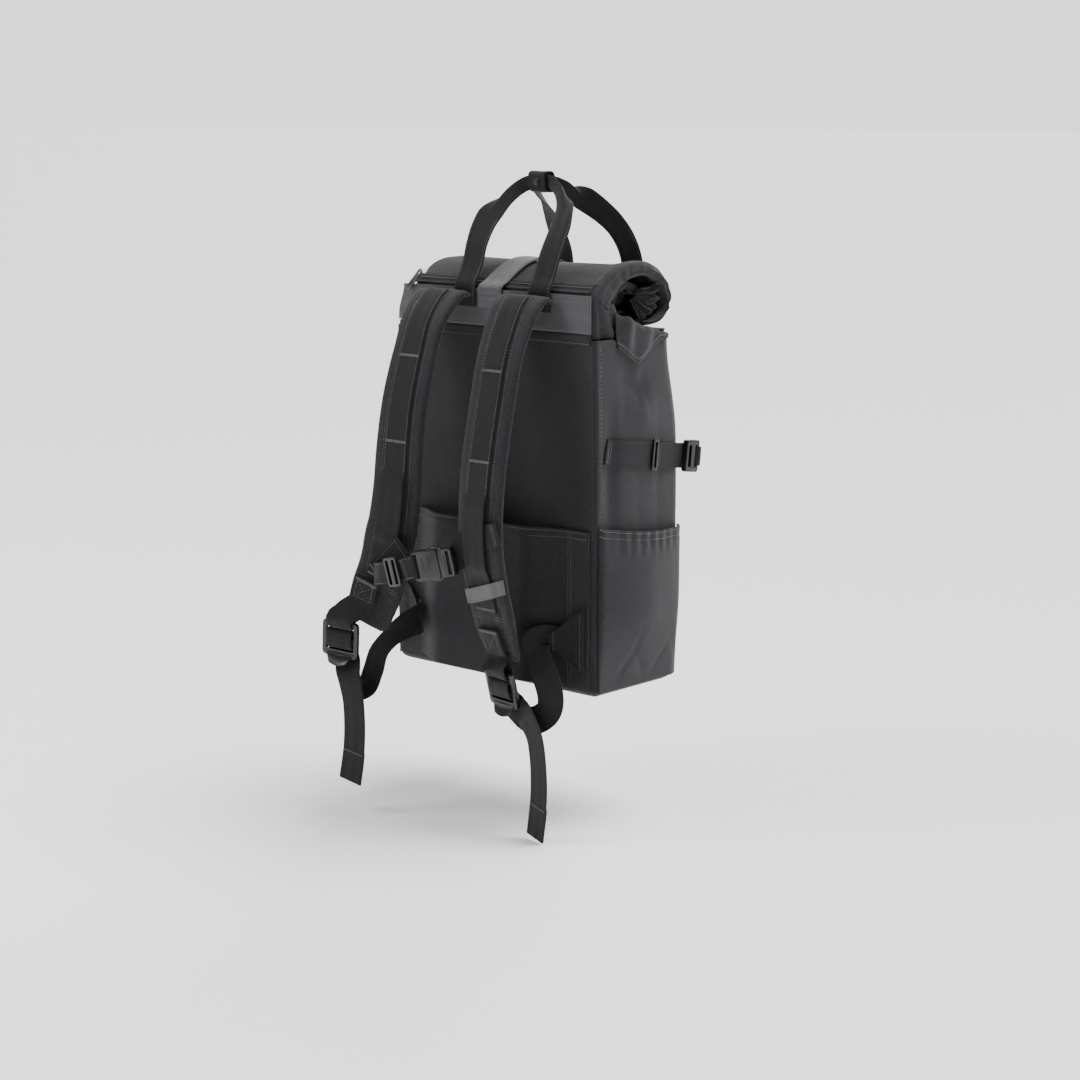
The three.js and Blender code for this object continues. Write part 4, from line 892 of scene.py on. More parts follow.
# Shoulder straps
shoulder = {"pad": 66, "thick": 13, "apart": 62, "root": 445, "webbing": 32}
strapRows = {
    "right": [(5.2, 1, 0), (15, 1.004, 0), (28, 0.98, 0), (42, 0.926, 0), (55, 0.856, 0), (66, 0.755, 0),
              (78, 0.63, 0), (84.5, 0.528, 0), (86, 0.404, 0), (79, 0.312, 0), (68, 0.218, 1), (58, 0.137, 2),
              (50, 0.094, 2)],
    "left": [(5.2, 1, 0), (17, 1.004, 0), (36, 0.972, 0), (50, 0.928, 0), (61, 0.865, 0), (69, 0.815, 0),
             (80, 0.73, 0), (88, 0.627, 0), (92, 0.5, 2), (92, 0.415, 9), (92, 0.372, 15), (92, 0.31, 22),
             (95, 0.222, 37), (98, 0.145, 50)],
}
strapTurns = {"right": [0, 0, 0, -0.05, -0.1], "left": [0, 0, 0.1, 0.25, 0.3]}
strapLines = {}
for name, side in (("right", 1), ("left", -1)):
    path = [backSpot(side * (shoulder["apart"] + drift), out, shoulder["root"] * high)
            for out, high, drift in strapRows[name]]
    turns = [Vector((math.cos(t), math.sin(t), 0)) for t in strapTurns[name]]
    strapLines[name] = laidLine(path, turns, 3.0)


def padWidth(share):
    return shoulder["pad"] + 8 * (1 - ease(share / 0.2)) - 7 * ease((share - 0.88) / 0.12)


def padThick(share):
    return shoulder["thick"] * (1 - 0.4 * (1 - ease(share / 0.06)) - 0.5 * ease((share - 0.86) / 0.14))


padSection = [(-1, 0.3), (-0.93, 0.7), (-0.86, 0.82), (-0.4, 1), (0, 1), (0.4, 1), (0.86, 0.82), (0.93, 0.7),
              (1, 0.3)]


def padFull(u):
    for (a, fa), (b, fb) in zip(padSection, padSection[1:]):
        if u <= b + 1e-6:
            return mix(fa, fb, ease((u - a) / (b - a)))
    return padSection[-1][1]


def buildPad(name, node, which):
    line = strapLines[which]
    around = 44

    def place(u, w):
        s = line[int(round(w * (len(line) - 1)))]
        share = s["share"]
        face = u < 0.5
        across = u * 4 - 1 if face else 3 - u * 4
        across = math.sin(across * math.pi / 2)
        ending = min(1, math.sqrt(max(0.0, 1 - (1 - min((1 - share) * line[-1]["along"] / 15, 1)) ** 2)),
                     math.sqrt(max(0.0, 1 - (1 - min(share * line[-1]["along"] / 5, 1)) ** 2)))
        full = padFull(across)
        # sewn lines beside the webbing draw the cloth in
        for seam in (-0.6, 0.6):
            full -= 0.13 * math.exp(-((across - seam) / 0.045) ** 2)
        lift = (1 if face else -1) * full * padThick(share) / 2 * ending
        lift *= 0.97
        wrinkle = noise.noise(Vector((across * 1.4, s["along"] * 0.05, 7 if which == "right" else 3)))
        wrinkle += 0.6 * noise.noise(Vector((across * 2.4, s["along"] * 0.13, 1)))
        lift -= 0.5 * abs(wrinkle) * (1 if face else -1) * (0.6 + 1.2 * ease((share - 0.7) / 0.2)) * abs(full)
        side = across * padWidth(share) / 2 * 0.985 * mix(0.72, 1, ending)
        return s["p"] + s["a"] * side + s["n"] * lift

    piece = shapedGrid(name, around * 2, len(line) - 1, place, (150, line[-1]["along"]), closed=True)
    piece.data.materials.append(finishes["packCloth"])
    piece.data.materials.append(finishes["spacerMesh"])
    layer = piece.data.uv_layers.active
    for polygon in piece.data.polygons:
        u = sum(layer.data[i].uv.x for i in polygon.loop_indices) / len(polygon.loop_indices) / 0.150
        polygon.material_index = 1 if 0.462 < u < 0.965 else 0
    finishPiece(piece, "packCloth", [node], smooth=60)
    for side in (-0.6, 0.6):
        sewAlong(name + "Stitches", line, side * 33, shoulder["thick"] / 2 * 0.86, 0.08, 0.84)
    for share in (0.868, 0.876):
        sewAcross(name + "Stitches", line, share, -28, 28, padThick(share) / 2 * 0.9, 2.6)
    return piece


def underLift(share):
    return 4.4 * ease((share - 0.53) / 0.05) * (1 - ease((share - 0.725) / 0.04))


def buildFaceWebbing(which, node):
    line = strapLines[which]
    kept = [s for s in line if 0.03 <= s["share"] <= 0.86]
    first = kept[0]["along"]
    laid = []
    for s in kept:
        lift = padThick(s["share"]) / 2 + 0.3 + 0.9 + underLift(s["share"])
        laid.append({**s, "p": s["p"] + s["n"] * lift, "along": s["along"] - first,
                     "share": (s["share"] - kept[0]["share"]) / (kept[-1]["share"] - kept[0]["share"])})
    layWebbing("faceWebbing" + which.capitalize(), laid, shoulder["webbing"], 1.8, [node])
    group = "faceWebbing" + which.capitalize() + "Stitches"
    for side in (-14, 14):
        sewAlong(group, laid, side, 1.0, 0.01, 0.62)
    for share in (0.24, 0.52, 0.985):
        barTack(group, laid, share, 14.5, 1.1)


# Webbing loops, ladder-locks and hanging tails
lockParts = {"clearance": 5.0, "barHalf": 20.5, "barDeep": 2.925, "barEnd": 2.4}
lockBars = {"lockBarUpper": (19.6, 2.9), "lockBarLower": (-17.4, 2.6)}
loopRows = [(27, 1.4), (21, 1.22), (17.5, 1.02), (15, 0.65), (14.2, 0), (15, -0.65), (17.5, -1.02), (21, -1.22),
            (27, -1.4)]
threadRows = [(-26, -3), (-14, -2.5), (-4, -1.5), (4, -1.05), (10.2, -0.75), (11.6, 0), (10.2, 0.75), (4, 1.05),
              (-3, 1), (-8, 0.75), (-11.6, 0), (-15, -0.95)]
lockSets = {
    "right": {
        "shift": 0, "legs": (0.9, 0.94, 0.98), "centre": backSpot(70, 60, 10),
        "x": Vector((0.99, -0.09, -0.03)), "y": Vector((0.0, -0.26, 0.96)),
        "lower": [(115, 8.6, 63, (0, 0, -1)), (109, 12.2, 64, (0, 0, -1)), (103, 16, 65, (0, 0, -1)),
                  (97, 20.5, 65, (0, 0, -1)), (92, 29, 61, (0.5, 0.2, -0.8)), (99, 33, 46, (0.95, 0.2, -0.2)),
                  (112, 35, 28, (0.96, 0.29, 0)), (123, 38, 6, (0.96, 0.25, 0)), (125, 42, -9, (0.9, 0.1, -0.4)),
                  (114, 45, -20, (0.5, 0, -0.85)), (98, 45, -25, (0.1, 0, -1)), (83, 42, -22, (-0.5, 0, -0.85)),
                  (73, 43, -14, (-0.95, 0, -0.3))],
        "tail": [(77, 47.5, -10, (-0.85, 0, -0.5)), (90, 49.5, -15, (-0.62, 0.2, -0.75)),
                 (105, 56, -23, (-0.7, 0.2, -0.68)), (117, 59, -37, (-0.9, 0.24, -0.35)),
                 (123.5, 60, -62, (-0.97, 0.26, -0.05)), (125, 60, -105, (-0.97, 0.26, 0)),
                 (118, 59, -156, (-0.97, 0.26, 0.1))],
    },
    "left": {
        "shift": -10, "legs": (0.87, 0.905, 0.94), "centre": backSpot(-132, 119, 47),
        "x": Vector((0.93, 0.3, -0.1)), "y": Vector((0.36, 0, 0.9)),
        "lower": [(-115, 8.6, 63, (0, 0, 1)), (-109, 12.2, 64, (0, 0, 1)), (-103, 16, 65, (0, 0, 1)),
                  (-97, 20.5, 65, (0, 0, 1)), (-92, 32, 62, (-0.3, 0.2, 0.9)), (-92, 52, 56, (-0.6, 0.3, 0.7)),
                  (-98, 70, 46, (-0.85, 0.3, 0.4)), (-106, 82, 30, (-0.95, 0.1, 0.1)), (-112, 87, 6, (-1, 0, 0)),
                  (-118, 93, -14, (-1, 0, 0)), (-127, 101, -20, (-0.95, 0.1, 0)), (-133, 106, -6, (-0.9, 0.1, 0))],
        "tail": [(-132, 110, 24, (-0.95, -0.2, 0.1)), (-122, 117, 6, (-0.98, -0.14, 0.1)),
                 (-112, 119, -28, (-1, -0.07, 0)), (-112, 119, -78, (-1, -0.07, 0)),
                 (-121, 118, -123, (-0.98, -0.1, 0.1))],
    },
}


def buildLockSet(which):
    lock = lockSets[which]
    line = strapLines[which]
    ax = lock["x"].normalized()
    ay = (lock["y"] - ax * lock["y"].dot(ax)).normalized()
    out = ax.cross(ay)
    if out.y > 0:
        out = -out
    title = which.capitalize()

    def at(v, w):
        return lock["centre"] + ay * v + out * (w * lockParts["clearance"])

    def legs(step):
        return [spotOn(line, share, lock["shift"], padThick(share) / 2 + 0.3 + 0.9 + 2.4 + step * 2.6)[0]
                for share in lock["legs"]]

    legAcross = [spotOn(line, share, 0, 0)[2] for share in lock["legs"]]
    loopPath = legs(1) + [at(v, w) for v, w in loopRows] + legs(0)[::-1]
    loopAcross = legAcross + [ax] * len(loopRows) + legAcross[::-1]
    loop = laidLine(loopPath, loopAcross, 2.2)
    layWebbing("strapLoop" + title, loop, 32, 1.8, ["strap_loop_" + which])
    sewBox("strapLoop" + title + "Stitches", loop, 0.03, 0.24 if which == "right" else 0.16, 11, 1.05)
    barTack("strapLoop" + title + "Stitches", loop, 0.012, 14, 1.05)
    lowerPath = [backSpot(x, o, z) for x, o, z, turn in lock["lower"]]
    lowerPath += [at(v, w) for v, w in threadRows]
    lowerPath += [backSpot(x, o, z) for x, o, z, turn in lock["tail"]]
    across = [Vector(turn) for x, o, z, turn in lock["lower"]] + [-ax] * len(threadRows)
    across += [Vector(turn) for x, o, z, turn in lock["tail"]]
    lower = laidLine(lowerPath, across, 2.2)
    layWebbing("lowerWebbing" + title, lower, 32, 1.8, ["lower_webbing_" + which])
    # the tail's end is folded back and sewn
    total = lower[-1]["along"]
    fold = [s for s in lower if s["along"] > total - 40]
    start = fold[0]["along"]
    hem = [{**s, "p": s["p"] + s["n"] * 1.6, "along": s["along"] - start, "share": i / (len(fold) - 1)}
           for i, s in enumerate(fold)]
    layWebbing("tailHem" + title, hem, 31.4, 1.6)
    for side in (1, -1):
        group = "tailHem" + title + "Stitches"
        sewAcross(group, lower, 1 - 38 / total, -14.5, 14.5, side * (0.9 if side < 0 else 2.4), 2.4)
        sewAcross(group, lower, 1 - 36.6 / total, -14.5, 14.5, side * (0.9 if side < 0 else 2.4), 2.4)
    roundedCopy("ladderLock" + title, "ladder_lock_" + which, 1.5, "mouldedBlack")

    def tab(u, w):
        # the thumb tab curls out below the lower bar
        half = 16.5 * (1 - 0.35 * w * w)
        lift = 2.0 + 7.5 * w ** 1.6 + 1.2 * hump(u)
        drop = 17.5 + 13 * w - 2.5 * w * (1 - hump(u))
        return lock["centre"] + ax * mix(-half, half, u) - ay * drop + out * lift

    lip = shapedGrid("lockTab" + title, 24, 12, tab, (33, 14))
    thicken(lip, 2.2, 0.0, 0.8)
    finishPiece(lip, "mouldedBlack", smooth=35)
    for name, (v, tall) in lockBars.items():
        def bar(u, w):
            turn = 2 * math.pi * u
            half = lockParts["barHalf"]
            deep = lockParts["barDeep"] if 0 < w < 1 else lockParts["barEnd"]
            rise = v + tall * math.cos(turn) * (0.7 + 0.3 * hump(w))
            return lock["centre"] + ax * mix(-half, half, w) + ay * rise + out * (math.sin(turn) * deep)

        rail = shapedGrid(name + title, 24, 16, bar, (16, 41), closed=True)
        finishPiece(rail, "mouldedBlack", smooth=50)


# Anchor wings
wingRows = [(144, 24, 107, 4), (130, 36, 95, 5.5), (116, 47, 82, 10), (103, 56, 70, 18)]


def buildWing(side, name, node):
    def place(u, w):
        at = w * (len(wingRows) - 1)
        low = min(int(at), len(wingRows) - 2)
        k = ease(at - low) * 0.3 + (at - low) * 0.7
        a, b = wingRows[low], wingRows[low + 1]
        x, bottom, top, out = [mix(a[i], b[i], k) for i in range(4)]
        return backSpot(side * x, out + 1.2, mix(bottom, top, u))

    piece = shapedGrid(name, 20, 26, place, (80, 46))
    thicken(piece, 2.0, 0.0, 0.5)
    finishPiece(piece, "strapWebbing", [node])
    for k in (0.12, 0.86):
        spots = [place(mix(0.06, 0.94, i / 20), k) for i in range(21)]
        for a, b in zip(spots, spots[1:]):
            sew(name + "Stitches", [(a + Vector((0, -1.2, 0)), (b - a).normalized(), Vector((0, -1, 0)))])


# Tote handles, folded in half at the grips
tote = {"apart": 57, "top": 572, "shift": 8, "lean": 0.17, "width": 32, "grip": 0.16}
legOut = 0.3 + 1.6 + 0.3 + 0.9
handleRows = {
    "near": [(-1, legOut, 0.755, 0), (-1, legOut, 0.799, 0), (-1, -4, 0.821, 0), (-0.99, -9, 0.84, 0.02),
             (-0.98, -16, 0.88, 0.12), (-0.9, -30, 0.925, 0.4), (-0.66, -48, 0.966, 0.9), (-0.3, -70.5, 0.996, 1.4),
             (0, -72, 1, 1.57), (0.3, -71.5, 1, 1.65), (0.66, -62, 0.985, 2.0), (0.98, -46, 0.955, 2.6),
             (1.05, -30, 0.915, 3.05), (1.02, -17, 0.875, 3.1), (1, -9, 0.84, 3.14), (1, -4, 0.821, 3.14),
             (1, legOut, 0.799, 3.14), (1, legOut, 0.755, 3.14)],
    "far": [(-0.95, -155, 0.66, 0), (-0.95, -157, 0.71, 0), (-0.95, -163, 0.78, 0), (-0.93, -160, 0.85, 0.1),
            (-0.84, -142, 0.91, 0.35), (-0.58, -114, 0.962, 0.85), (-0.3, -80.5, 0.996, 1.4), (0, -79, 1, 1.57),
            (0.3, -80.5, 0.996, 1.74), (0.58, -114, 0.962, 2.29), (0.84, -142, 0.91, 2.79),
            (0.93, -160, 0.85, 3.04), (0.95, -163, 0.78, math.pi), (0.95, -157, 0.71, math.pi),
            (0.95, -155, 0.66, math.pi)],
}


def gripShare(share):
    return 1 - ease((abs(share - 0.5) - tote["grip"] * 0.4) / tote["grip"])


def buildHandle(which):
    rows = handleRows[which]
    path = []
    for x, out, high, turn in rows:
        lean = tote["lean"] * ease((1 - high) / 0.12)
        path.append(backSpot(tote["shift"] + (x + lean) * tote["apart"], out, high * tote["top"]))
    across = [Vector((math.cos(turn), 0, -math.sin(turn))) for x, out, high, turn in rows]
    line = laidLine(path, across, 2.6)

    def foldOver(s, side):
        g = gripShare(s["share"]) if which == "near" else 1 - ease((abs(s["share"] - 0.5) - 0.045) / 0.07)
        away = abs(side)
        flat = mix(side, away - 8, g)
        if side < 0:
            return flat, away * 0.55 * math.sin(math.pi * g) + 1.15 * g
        return flat, -1.0 * g

    layWebbing("handle" + which.capitalize(), line, tote["width"], 1.8, ["handle_" + which], foldOver, 12)
    for side in (-14, 14):
        for start, end in ((0.01, 0.28), (0.72, 0.99)):
            for face in (1, -1):
                sewAlong("handle" + which.capitalize() + "Stitches", line, side, face * 1.05, start, end)
    for share in (0.02, 0.06, 0.94, 0.98):
        barTack("handle" + which.capitalize() + "Stitches", line, share, 14, 1.05 if which == "near" else -1.05)


keeper = {"y": 85.5, "z": 572, "halfY": 8.3, "halfZ": 10.6, "from": -4.5, "to": 20.5, "snap": 4.6}


def buildKeeper():
    def place(u, w):
        turn = 2 * math.pi * u
        c, d = math.cos(turn), math.sin(turn)
        y = math.copysign(abs(c) ** 0.55, c) * keeper["halfY"]
        z = math.copysign(abs(d) ** 0.55, d) * keeper["halfZ"]
        x = mix(keeper["from"], keeper["to"], w) - 0.12 * z
        pinch = 0.5 * math.cos(w * math.pi * 2)
        return Vector((x, keeper["y"] + y * (1 - 0.03 * pinch), keeper["z"] + z + 0.4 * pinch))

    piece = shapedGrid("handleKeeper", 64, 14, place, (62, 26), closed=True)
    thicken(piece, 1.5, 1.0, 0.4)
    finishPiece(piece, "strapWebbing", ["handle_keeper"])
    front = keeper["y"] - keeper["halfY"] - 1.6
    for radius, deep, more in ((keeper["snap"], 1.2, 0.5), (keeper["snap"] * 0.72, 1.0, 1.4)):
        bpy.ops.mesh.primitive_cylinder_add(vertices=40, radius=radius * toMetres, depth=deep * toMetres,
                                            location=(0.008, (front - more) * toMetres, keeper["z"] * toMetres),
                                            rotation=(math.pi / 2, 0, 0))
        stud = bpy.context.object
        stud.name = "snapBase" if more < 1 else "snapCap"
        bpy.ops.object.transform_apply(location=True, rotation=True, scale=True)
        edge = stud.modifiers.new("rolledEdge", "BEVEL")
        edge.width = 0.0004
        edge.segments = 3
        applyModifiers(stud)
        finishPiece(stud, "mouldedBlack", smooth=35)


# Top band, zip and closure strap
def buildBand():
    line = laidLine([backSpot(-149, 0, 432), backSpot(0, 0, 432), backSpot(149, 0, 432)], [Vector((0, 0, 1))], 3)
    for s in line:
        s["p"] = s["p"] + Vector((0, -1.1, 0))
        s["n"] = Vector((0, -1, 0))

    # the top band takes the lighter webbing copy, whose colour carries painted light from above
    piece = layWebbing("topBand", line, 42, 1.7, ["top_band"], ripple=0.1, finish="paintedLightWebbing")
    # the band's left end leans in towards its top corner
    for v in piece.data.vertices:
        v.co.x += 0.009 * ease((-0.109 - v.co.x) / 0.04) * ease((v.co.z - 0.418) / 0.034)
    for z in (413.5, 450.5):
        sewStraight("bandStitches", backSpot(-148, 2.1, z), backSpot(148, 2.1, z), Vector((0, -1, 0)))


zipTape = {"from": 0.115, "to": 0.15}


def buildZip():
    def place(u, w):
        along = mix(-0.92, 0.92, w)
        p, n, thick, end = rollSpot(mix(zipTape["from"], zipTape["to"], u), along)
        return p - n * (0.75 - 0.2 * hump(u))

    piece = shapedGrid("collarZip", 8, 100, place, (14, 285))
    thicken(piece, 0.9, 0.0, 0.3)
    finishPiece(piece, "strapWebbing", ["collar_zip"])
    # coil teeth down the middle of the tape
    bpy.ops.mesh.primitive_uv_sphere_add(segments=8, ring_count=5, radius=1)
    tooth = bpy.context.object
    coil = bmesh.new()
    coil.from_mesh(tooth.data)
    stretch = Matrix.Diagonal((0.0016, 0.0007, 0.0006, 1))
    coil.transform(stretch)
    coil.to_mesh(tooth.data)
    coil.free()
    spots = []
    for i in range(170):
        along = mix(-0.9, 0.9, i / 169)
        p, n, thick, end = rollSpot(mix(zipTape["from"], zipTape["to"], 0.5), along)
        q = rollSpot(mix(zipTape["from"], zipTape["to"], 0.6), along)[0]
        spots.append((p - n * 1.25, (q - p).normalized(), -n))
    scatter("zipTeeth", tooth, spots, "mouldedBlack")
    for k in (0.12, 0.88):
        row = []
        for i in range(86):
            along = mix(-0.9, 0.9, (i + 0.5) / 86)
            p, n, thick, end = rollSpot(mix(zipTape["from"], zipTape["to"], k), along)
            row.append((p - n * 1.3, Vector((1, 0, 0)), -n))
        sew("zipStitches", row)
    roundedCopy("zipPull", "zip_pull", 0.6, "darkMetal")


def scatter(name, template, spots, finish):
    source = template.data
    points = [v.co.copy() for v in source.vertices]
    faces = [tuple(polygon.vertices) for polygon in source.polygons]
    allPoints, allFaces = [], []
    for place, way, normal in spots:
        normal = (normal - way * normal.dot(way)).normalized()
        side = normal.cross(way)
        turn = Matrix((way, side, normal)).transposed()
        start = len(allPoints)
        allPoints += [turn @ p + place * toMetres for p in points]
        allFaces += [tuple(start + i for i in face) for face in faces]
    mesh = bpy.data.meshes.new(name)
    mesh.from_pydata(allPoints, [], allFaces)
    piece = bpy.data.objects.new(name, mesh)
    bpy.context.scene.collection.objects.link(piece)
    bpy.data.objects.remove(template)
    return finishPiece(piece, finish, smooth=80)


closure = {"width": 36, "shares": (0.135, 0.16, 0.19, 0.23, 0.27, 0.31, 0.35, 0.39, 0.43, 0.47)}


def frontAt(z):
    return bodySkin("front", 0.5, z)[0].y + 0.3 + 0.9 + 0.3


def buildClosure():
    path = [backSpot(0, legOut + 0.3, 432), backSpot(0, legOut + 0.3, 446), backSpot(0, legOut + 0.6, 455)]
    for share in closure["shares"]:
        p, n, thick, end = rollSpot(share, 0)
        path.append(p - n * (0.4 + 1.2 + 0.3 + 0.9 + 0.6))
    for more, z in ((9, 400), (9, 372), (6, 346), (0.6, 324), (0, 304)):
        path.append(Vector((0, frontAt(z) + more, z)))
    line = laidLine(path, [Vector((1, 0, 0))], 2.6)
    # the closure strap takes the lighter webbing copy, whose colour carries painted light and sheen from above
    layWebbing("closureStrap", line, closure["width"], 1.8, ["closure_strap"], finish="paintedLightWebbing")
    for side in (-16, 16):
        sewAlong("closureStitches", line, side, -1.05, 0.02, 0.98)
        sewAlong("closureStitches", line, side, 1.05, 0.02, 0.98)
    barTack("closureStitches", line, 0.03, 15, -1.05)
    barTack("closureStitches", line, 0.03, 15, 1.05)
    roundedCopy("closureHook", "closure_hook", 1.0, "mouldedBlack")


# Side straps with their tri-glides and hooks
sideStrap = {"back": 281, "front": 264, "width": 29}
frontLoopRows = [(-9.5, 1), (-7, 5), (-3, 6), (3, 6), (5.4, 8.6), (4.8, 12), (1.5, 13.6), (-3.5, 13.2), (-7, 11),
                 (-10.5, 6.5), (-12.5, 1)]


def buildSideStrap(side, which):
    title = which.capitalize()
    spots = [("right", 0.06)] + [("right", i / 8) for i in range(1, 8)] + [("corner1", 0.0)]
    path = []
    for i, (face, at) in enumerate(spots):
        z = mix(sideStrap["back"], sideStrap["front"], i / (len(spots) - 1))
        p, n = bodySkin(face, at, z)
        q = p + (Vector((1, 0, 0)) if face == "right" else n) * 2.2
        path.append(Vector((side * q.x, q.y, q.z)))
    last = path[-1]
    path += [last + Vector((0, 14, -1.5)), last + Vector((0, 24, -2.7))]
    line = laidLine(path, [Vector((0, 0, 1))], 2.6)
    layWebbing("sideStrap" + title, line, sideStrap["width"], 1.8, ["side_strap_" + which])
    face = 1 if line[5]["n"].x * side > 0 else -1
    group = "sideStrap" + title + "Stitches"
    for share in (0.03, 0.06):
        sewAcross(group, line, share, -13, 13, face * 1.05, 2.4)
    for share in (0.6, 0.63):
        sewAcross(group, line, share, -13, 13, face * 1.05, 2.4)
    roundedCopy("triGlide" + title, "tri_glide_" + which, 0.6, "mouldedBlack")
    roundedCopy("sideHook" + title, "side_hook_" + which, 1.2, "mouldedBlack")
    hook = last + Vector((side * (3.5 + 0.9 + 0.3), 27, -3))
    p, n = bodySkin("corner1", 0.5, hook.z)
    loopPath = []
    for lift in (2.2 + 1.8 + 0.3 + 0.8, None, 2.2):
        if lift is None:
            loopPath += [hook + Vector((side * x, y, -0.12 * y)) for x, y in frontLoopRows]
        else:
            q = p + n * lift
            loopPath.append(Vector((side * q.x, q.y, q.z)))
    loop = laidLine(loopPath, [Vector((0, 0.12, 1))], 2.0)
    layWebbing("frontLoop" + title, loop, 22, 1.8, ["front_loop_" + which])


# Chest strap
chest = {"width": 26, "way": Vector((0.957, 0.21, 0.2)).normalized(), "up": Vector((-0.2, -0.1, 1)),
         "socket": backSpot(3, 110, 151)}


def chestAt(along, w=0.0):
    up = (chest["up"] - chest["way"] * chest["up"].dot(chest["way"])).normalized()
    out = up.cross(chest["way"])
    return chest["socket"] + chest["way"] * along + out * ((1 if out.y < 0 else -1) * w)


def buildChest():
    up = chest["up"]
    reach = 11 / 2 + 0.3 + 0.9 + 0.2
    plugReach = 9 / 2 + 0.3 + 0.9 + 0.2
    slotAt = 17 + 0.5 + 18 - 5.5
    left = [chestAt(-12.3, -reach * 0.5), chestAt(-12.3, reach * 0.6), chestAt(-13.4, reach + 0.5),
            chestAt(-17, reach + 0.9), chestAt(-22, reach + 0.5), backSpot(-30, 122, 141), backSpot(-48, 122.5, 137),
            backSpot(-66, 121, 133), backSpot(-78, 115, 131), backSpot(-70, 108.5, 139), backSpot(-57, 105, 153),
            backSpot(-44, 102.5, 166)]
    turns = [up] * 7 + [Vector((-0.1, 0, 1)), Vector((0, 0, 1)), Vector((-0.4, 0, 1)), Vector((-0.6, 0, 1)),
                        Vector((-0.6, 0, 1))]
    line = laidLine(left, turns, 2.0)
    layWebbing("chestWebbingLeft", line, chest["width"], 1.8, ["sternum_webbing_left"])
    for face in (1, -1):
        for share in (0.18, 0.2, 0.96):
            sewAcross("chestStitches", line, share, -11.5, 11.5, face * 1.05, 2.4)
        for side in (-11, 11):
            sewAlong("chestStitches", line, side, face * 1.05, 0.1, 0.97)
    strap = strapLines["right"]
    total = strap[-1]["along"]
    share = 0.66
    onStrap = [spotOn(strap, share - side * 0.3 / total, side, 13 / 2 + 0.3 + 0.9 + 1)[0]
               for side in (-18, -2, 16, 35)]
    lie = -spotOn(strap, share, 0, 0)[1] + Vector((-0.28, 0, 0))
    right = [chestAt(slotAt - 0.2, plugReach * 0.6), chestAt(slotAt - 0.2, -plugReach * 0.6),
             chestAt(slotAt + 0.9, -plugReach - 0.5), chestAt(slotAt + 4, -plugReach - 1.3)] + onStrap
    line = laidLine(right, [up] * 4 + [lie] * 4, 2.0)
    layWebbing("chestWebbingRight", line, chest["width"], 1.8, ["sternum_webbing_right"])
    for face in (1, -1):
        sewAcross("chestStitches", line, 0.95, -11.5, 11.5, face * 1.05, 2.0)
        sewAcross("chestStitches", line, 0.92, -11.5, 11.5, face * 1.05, 2.0)
    roundedCopy("chestSocket", "sternum_socket", 1.3, "mouldedBlack")
    roundedCopy("chestPlug", "sternum_plug", 0.8, "mouldedBlack")
    roundedCopy("chestSlider", "sternum_slider", 0.8, "mouldedBlack")
    buildCatches()


# The buckle's two spring catches, and the raised ridges on its faces by place and half-length
catches = {"bow": [(22, 11.5), (18.5, 15.4), (13, 17.6), (7, 17.4), (2.5, 14.6)], "thick": 2.3}
ridges = {"socketRidgeInner": (-4, 9.5, 5.4), "socketRidgeOuter": (4, 9.5, 5.4), "plugRidge": (25, 8.5, 4.4)}


def buildCatches():
    up = (chest["up"] - chest["way"] * chest["up"].dot(chest["way"])).normalized()
    for turn, name in ((1, "springCatchUpper"), (-1, "springCatchLower")):
        line = laidLine([chestAt(along) + up * (turn * high) for along, high in catches["bow"]], [up], 1.2)
        out = (chestAt(0, 1) - chestAt(0, 0)).normalized()

        def place(u, w):
            s = line[int(round(w * (len(line) - 1)))]
            angle = 2 * math.pi * u
            cross = s["t"].cross(out).normalized()
            size = catches["thick"] * math.sqrt(max(0.02, 1 - abs(2 * w - 1) ** 6))
            return s["p"] + out * (math.sin(angle) * size * 1.25) + cross * (math.cos(angle) * size)

        arm = shapedGrid(name, 20, len(line) - 1, place, (14, 26), closed=True)
        finishPiece(arm, "mouldedBlack", smooth=60)
    for name, (along, half, face) in ridges.items():
        def ridge(u, w):
            lift = face + 0.9 * math.sin(math.pi * u) * hump(w) ** 0.3
            return chestAt(along + mix(-1.3, 1.3, u), lift) + up * mix(-half, half, w)

        bead = shapedGrid(name, 8, 20, ridge, (3, 18))
        thicken(bead, 0.5, -1.0, 0)
        finishPiece(bead, "mouldedBlack", smooth=60)


def buildPatch():
    line = strapLines["right"]
    total = line[-1]["along"]
    patch = {"tall": 18, "half": 33, "share": 0.8, "slope": 0.3}

    def place(u, w):
        side = mix(-patch["half"], patch["half"], u)
        share = patch["share"] + ((w - 0.5) * patch["tall"] - side * patch["slope"]) / total
        over = 1 - ease((abs(side) - 17) / 8)
        edge = padFull(abs(side) / 33)
        lift = 6.5 * mix(edge, 1, over) + 0.3 + 0.5 + 2.7 * over + 0.6
        lift += 0.25 * noise.noise(Vector((u * 5, w * 2, 0)))
        return spotOn(line, share, side, lift)[0]

    piece = shapedGrid("strapPatch", 60, 12, place, (66, 18))
    thicken(piece, 1.1, 0.0, 0.4)
    finishPiece(piece, "barePatch", ["strap_patch"])
    for w in (0.1, 0.9):
        for i in range(22):
            u = mix(0.04, 0.96, (i + 0.5) / 22)
            a, b = place(u, w), place(u + 0.02, w)
            n = spotOn(line, patch["share"], 0, 0)[3]
            sew("patchStitches", [(a + n * 0.7, (b - a).normalized(), n)])


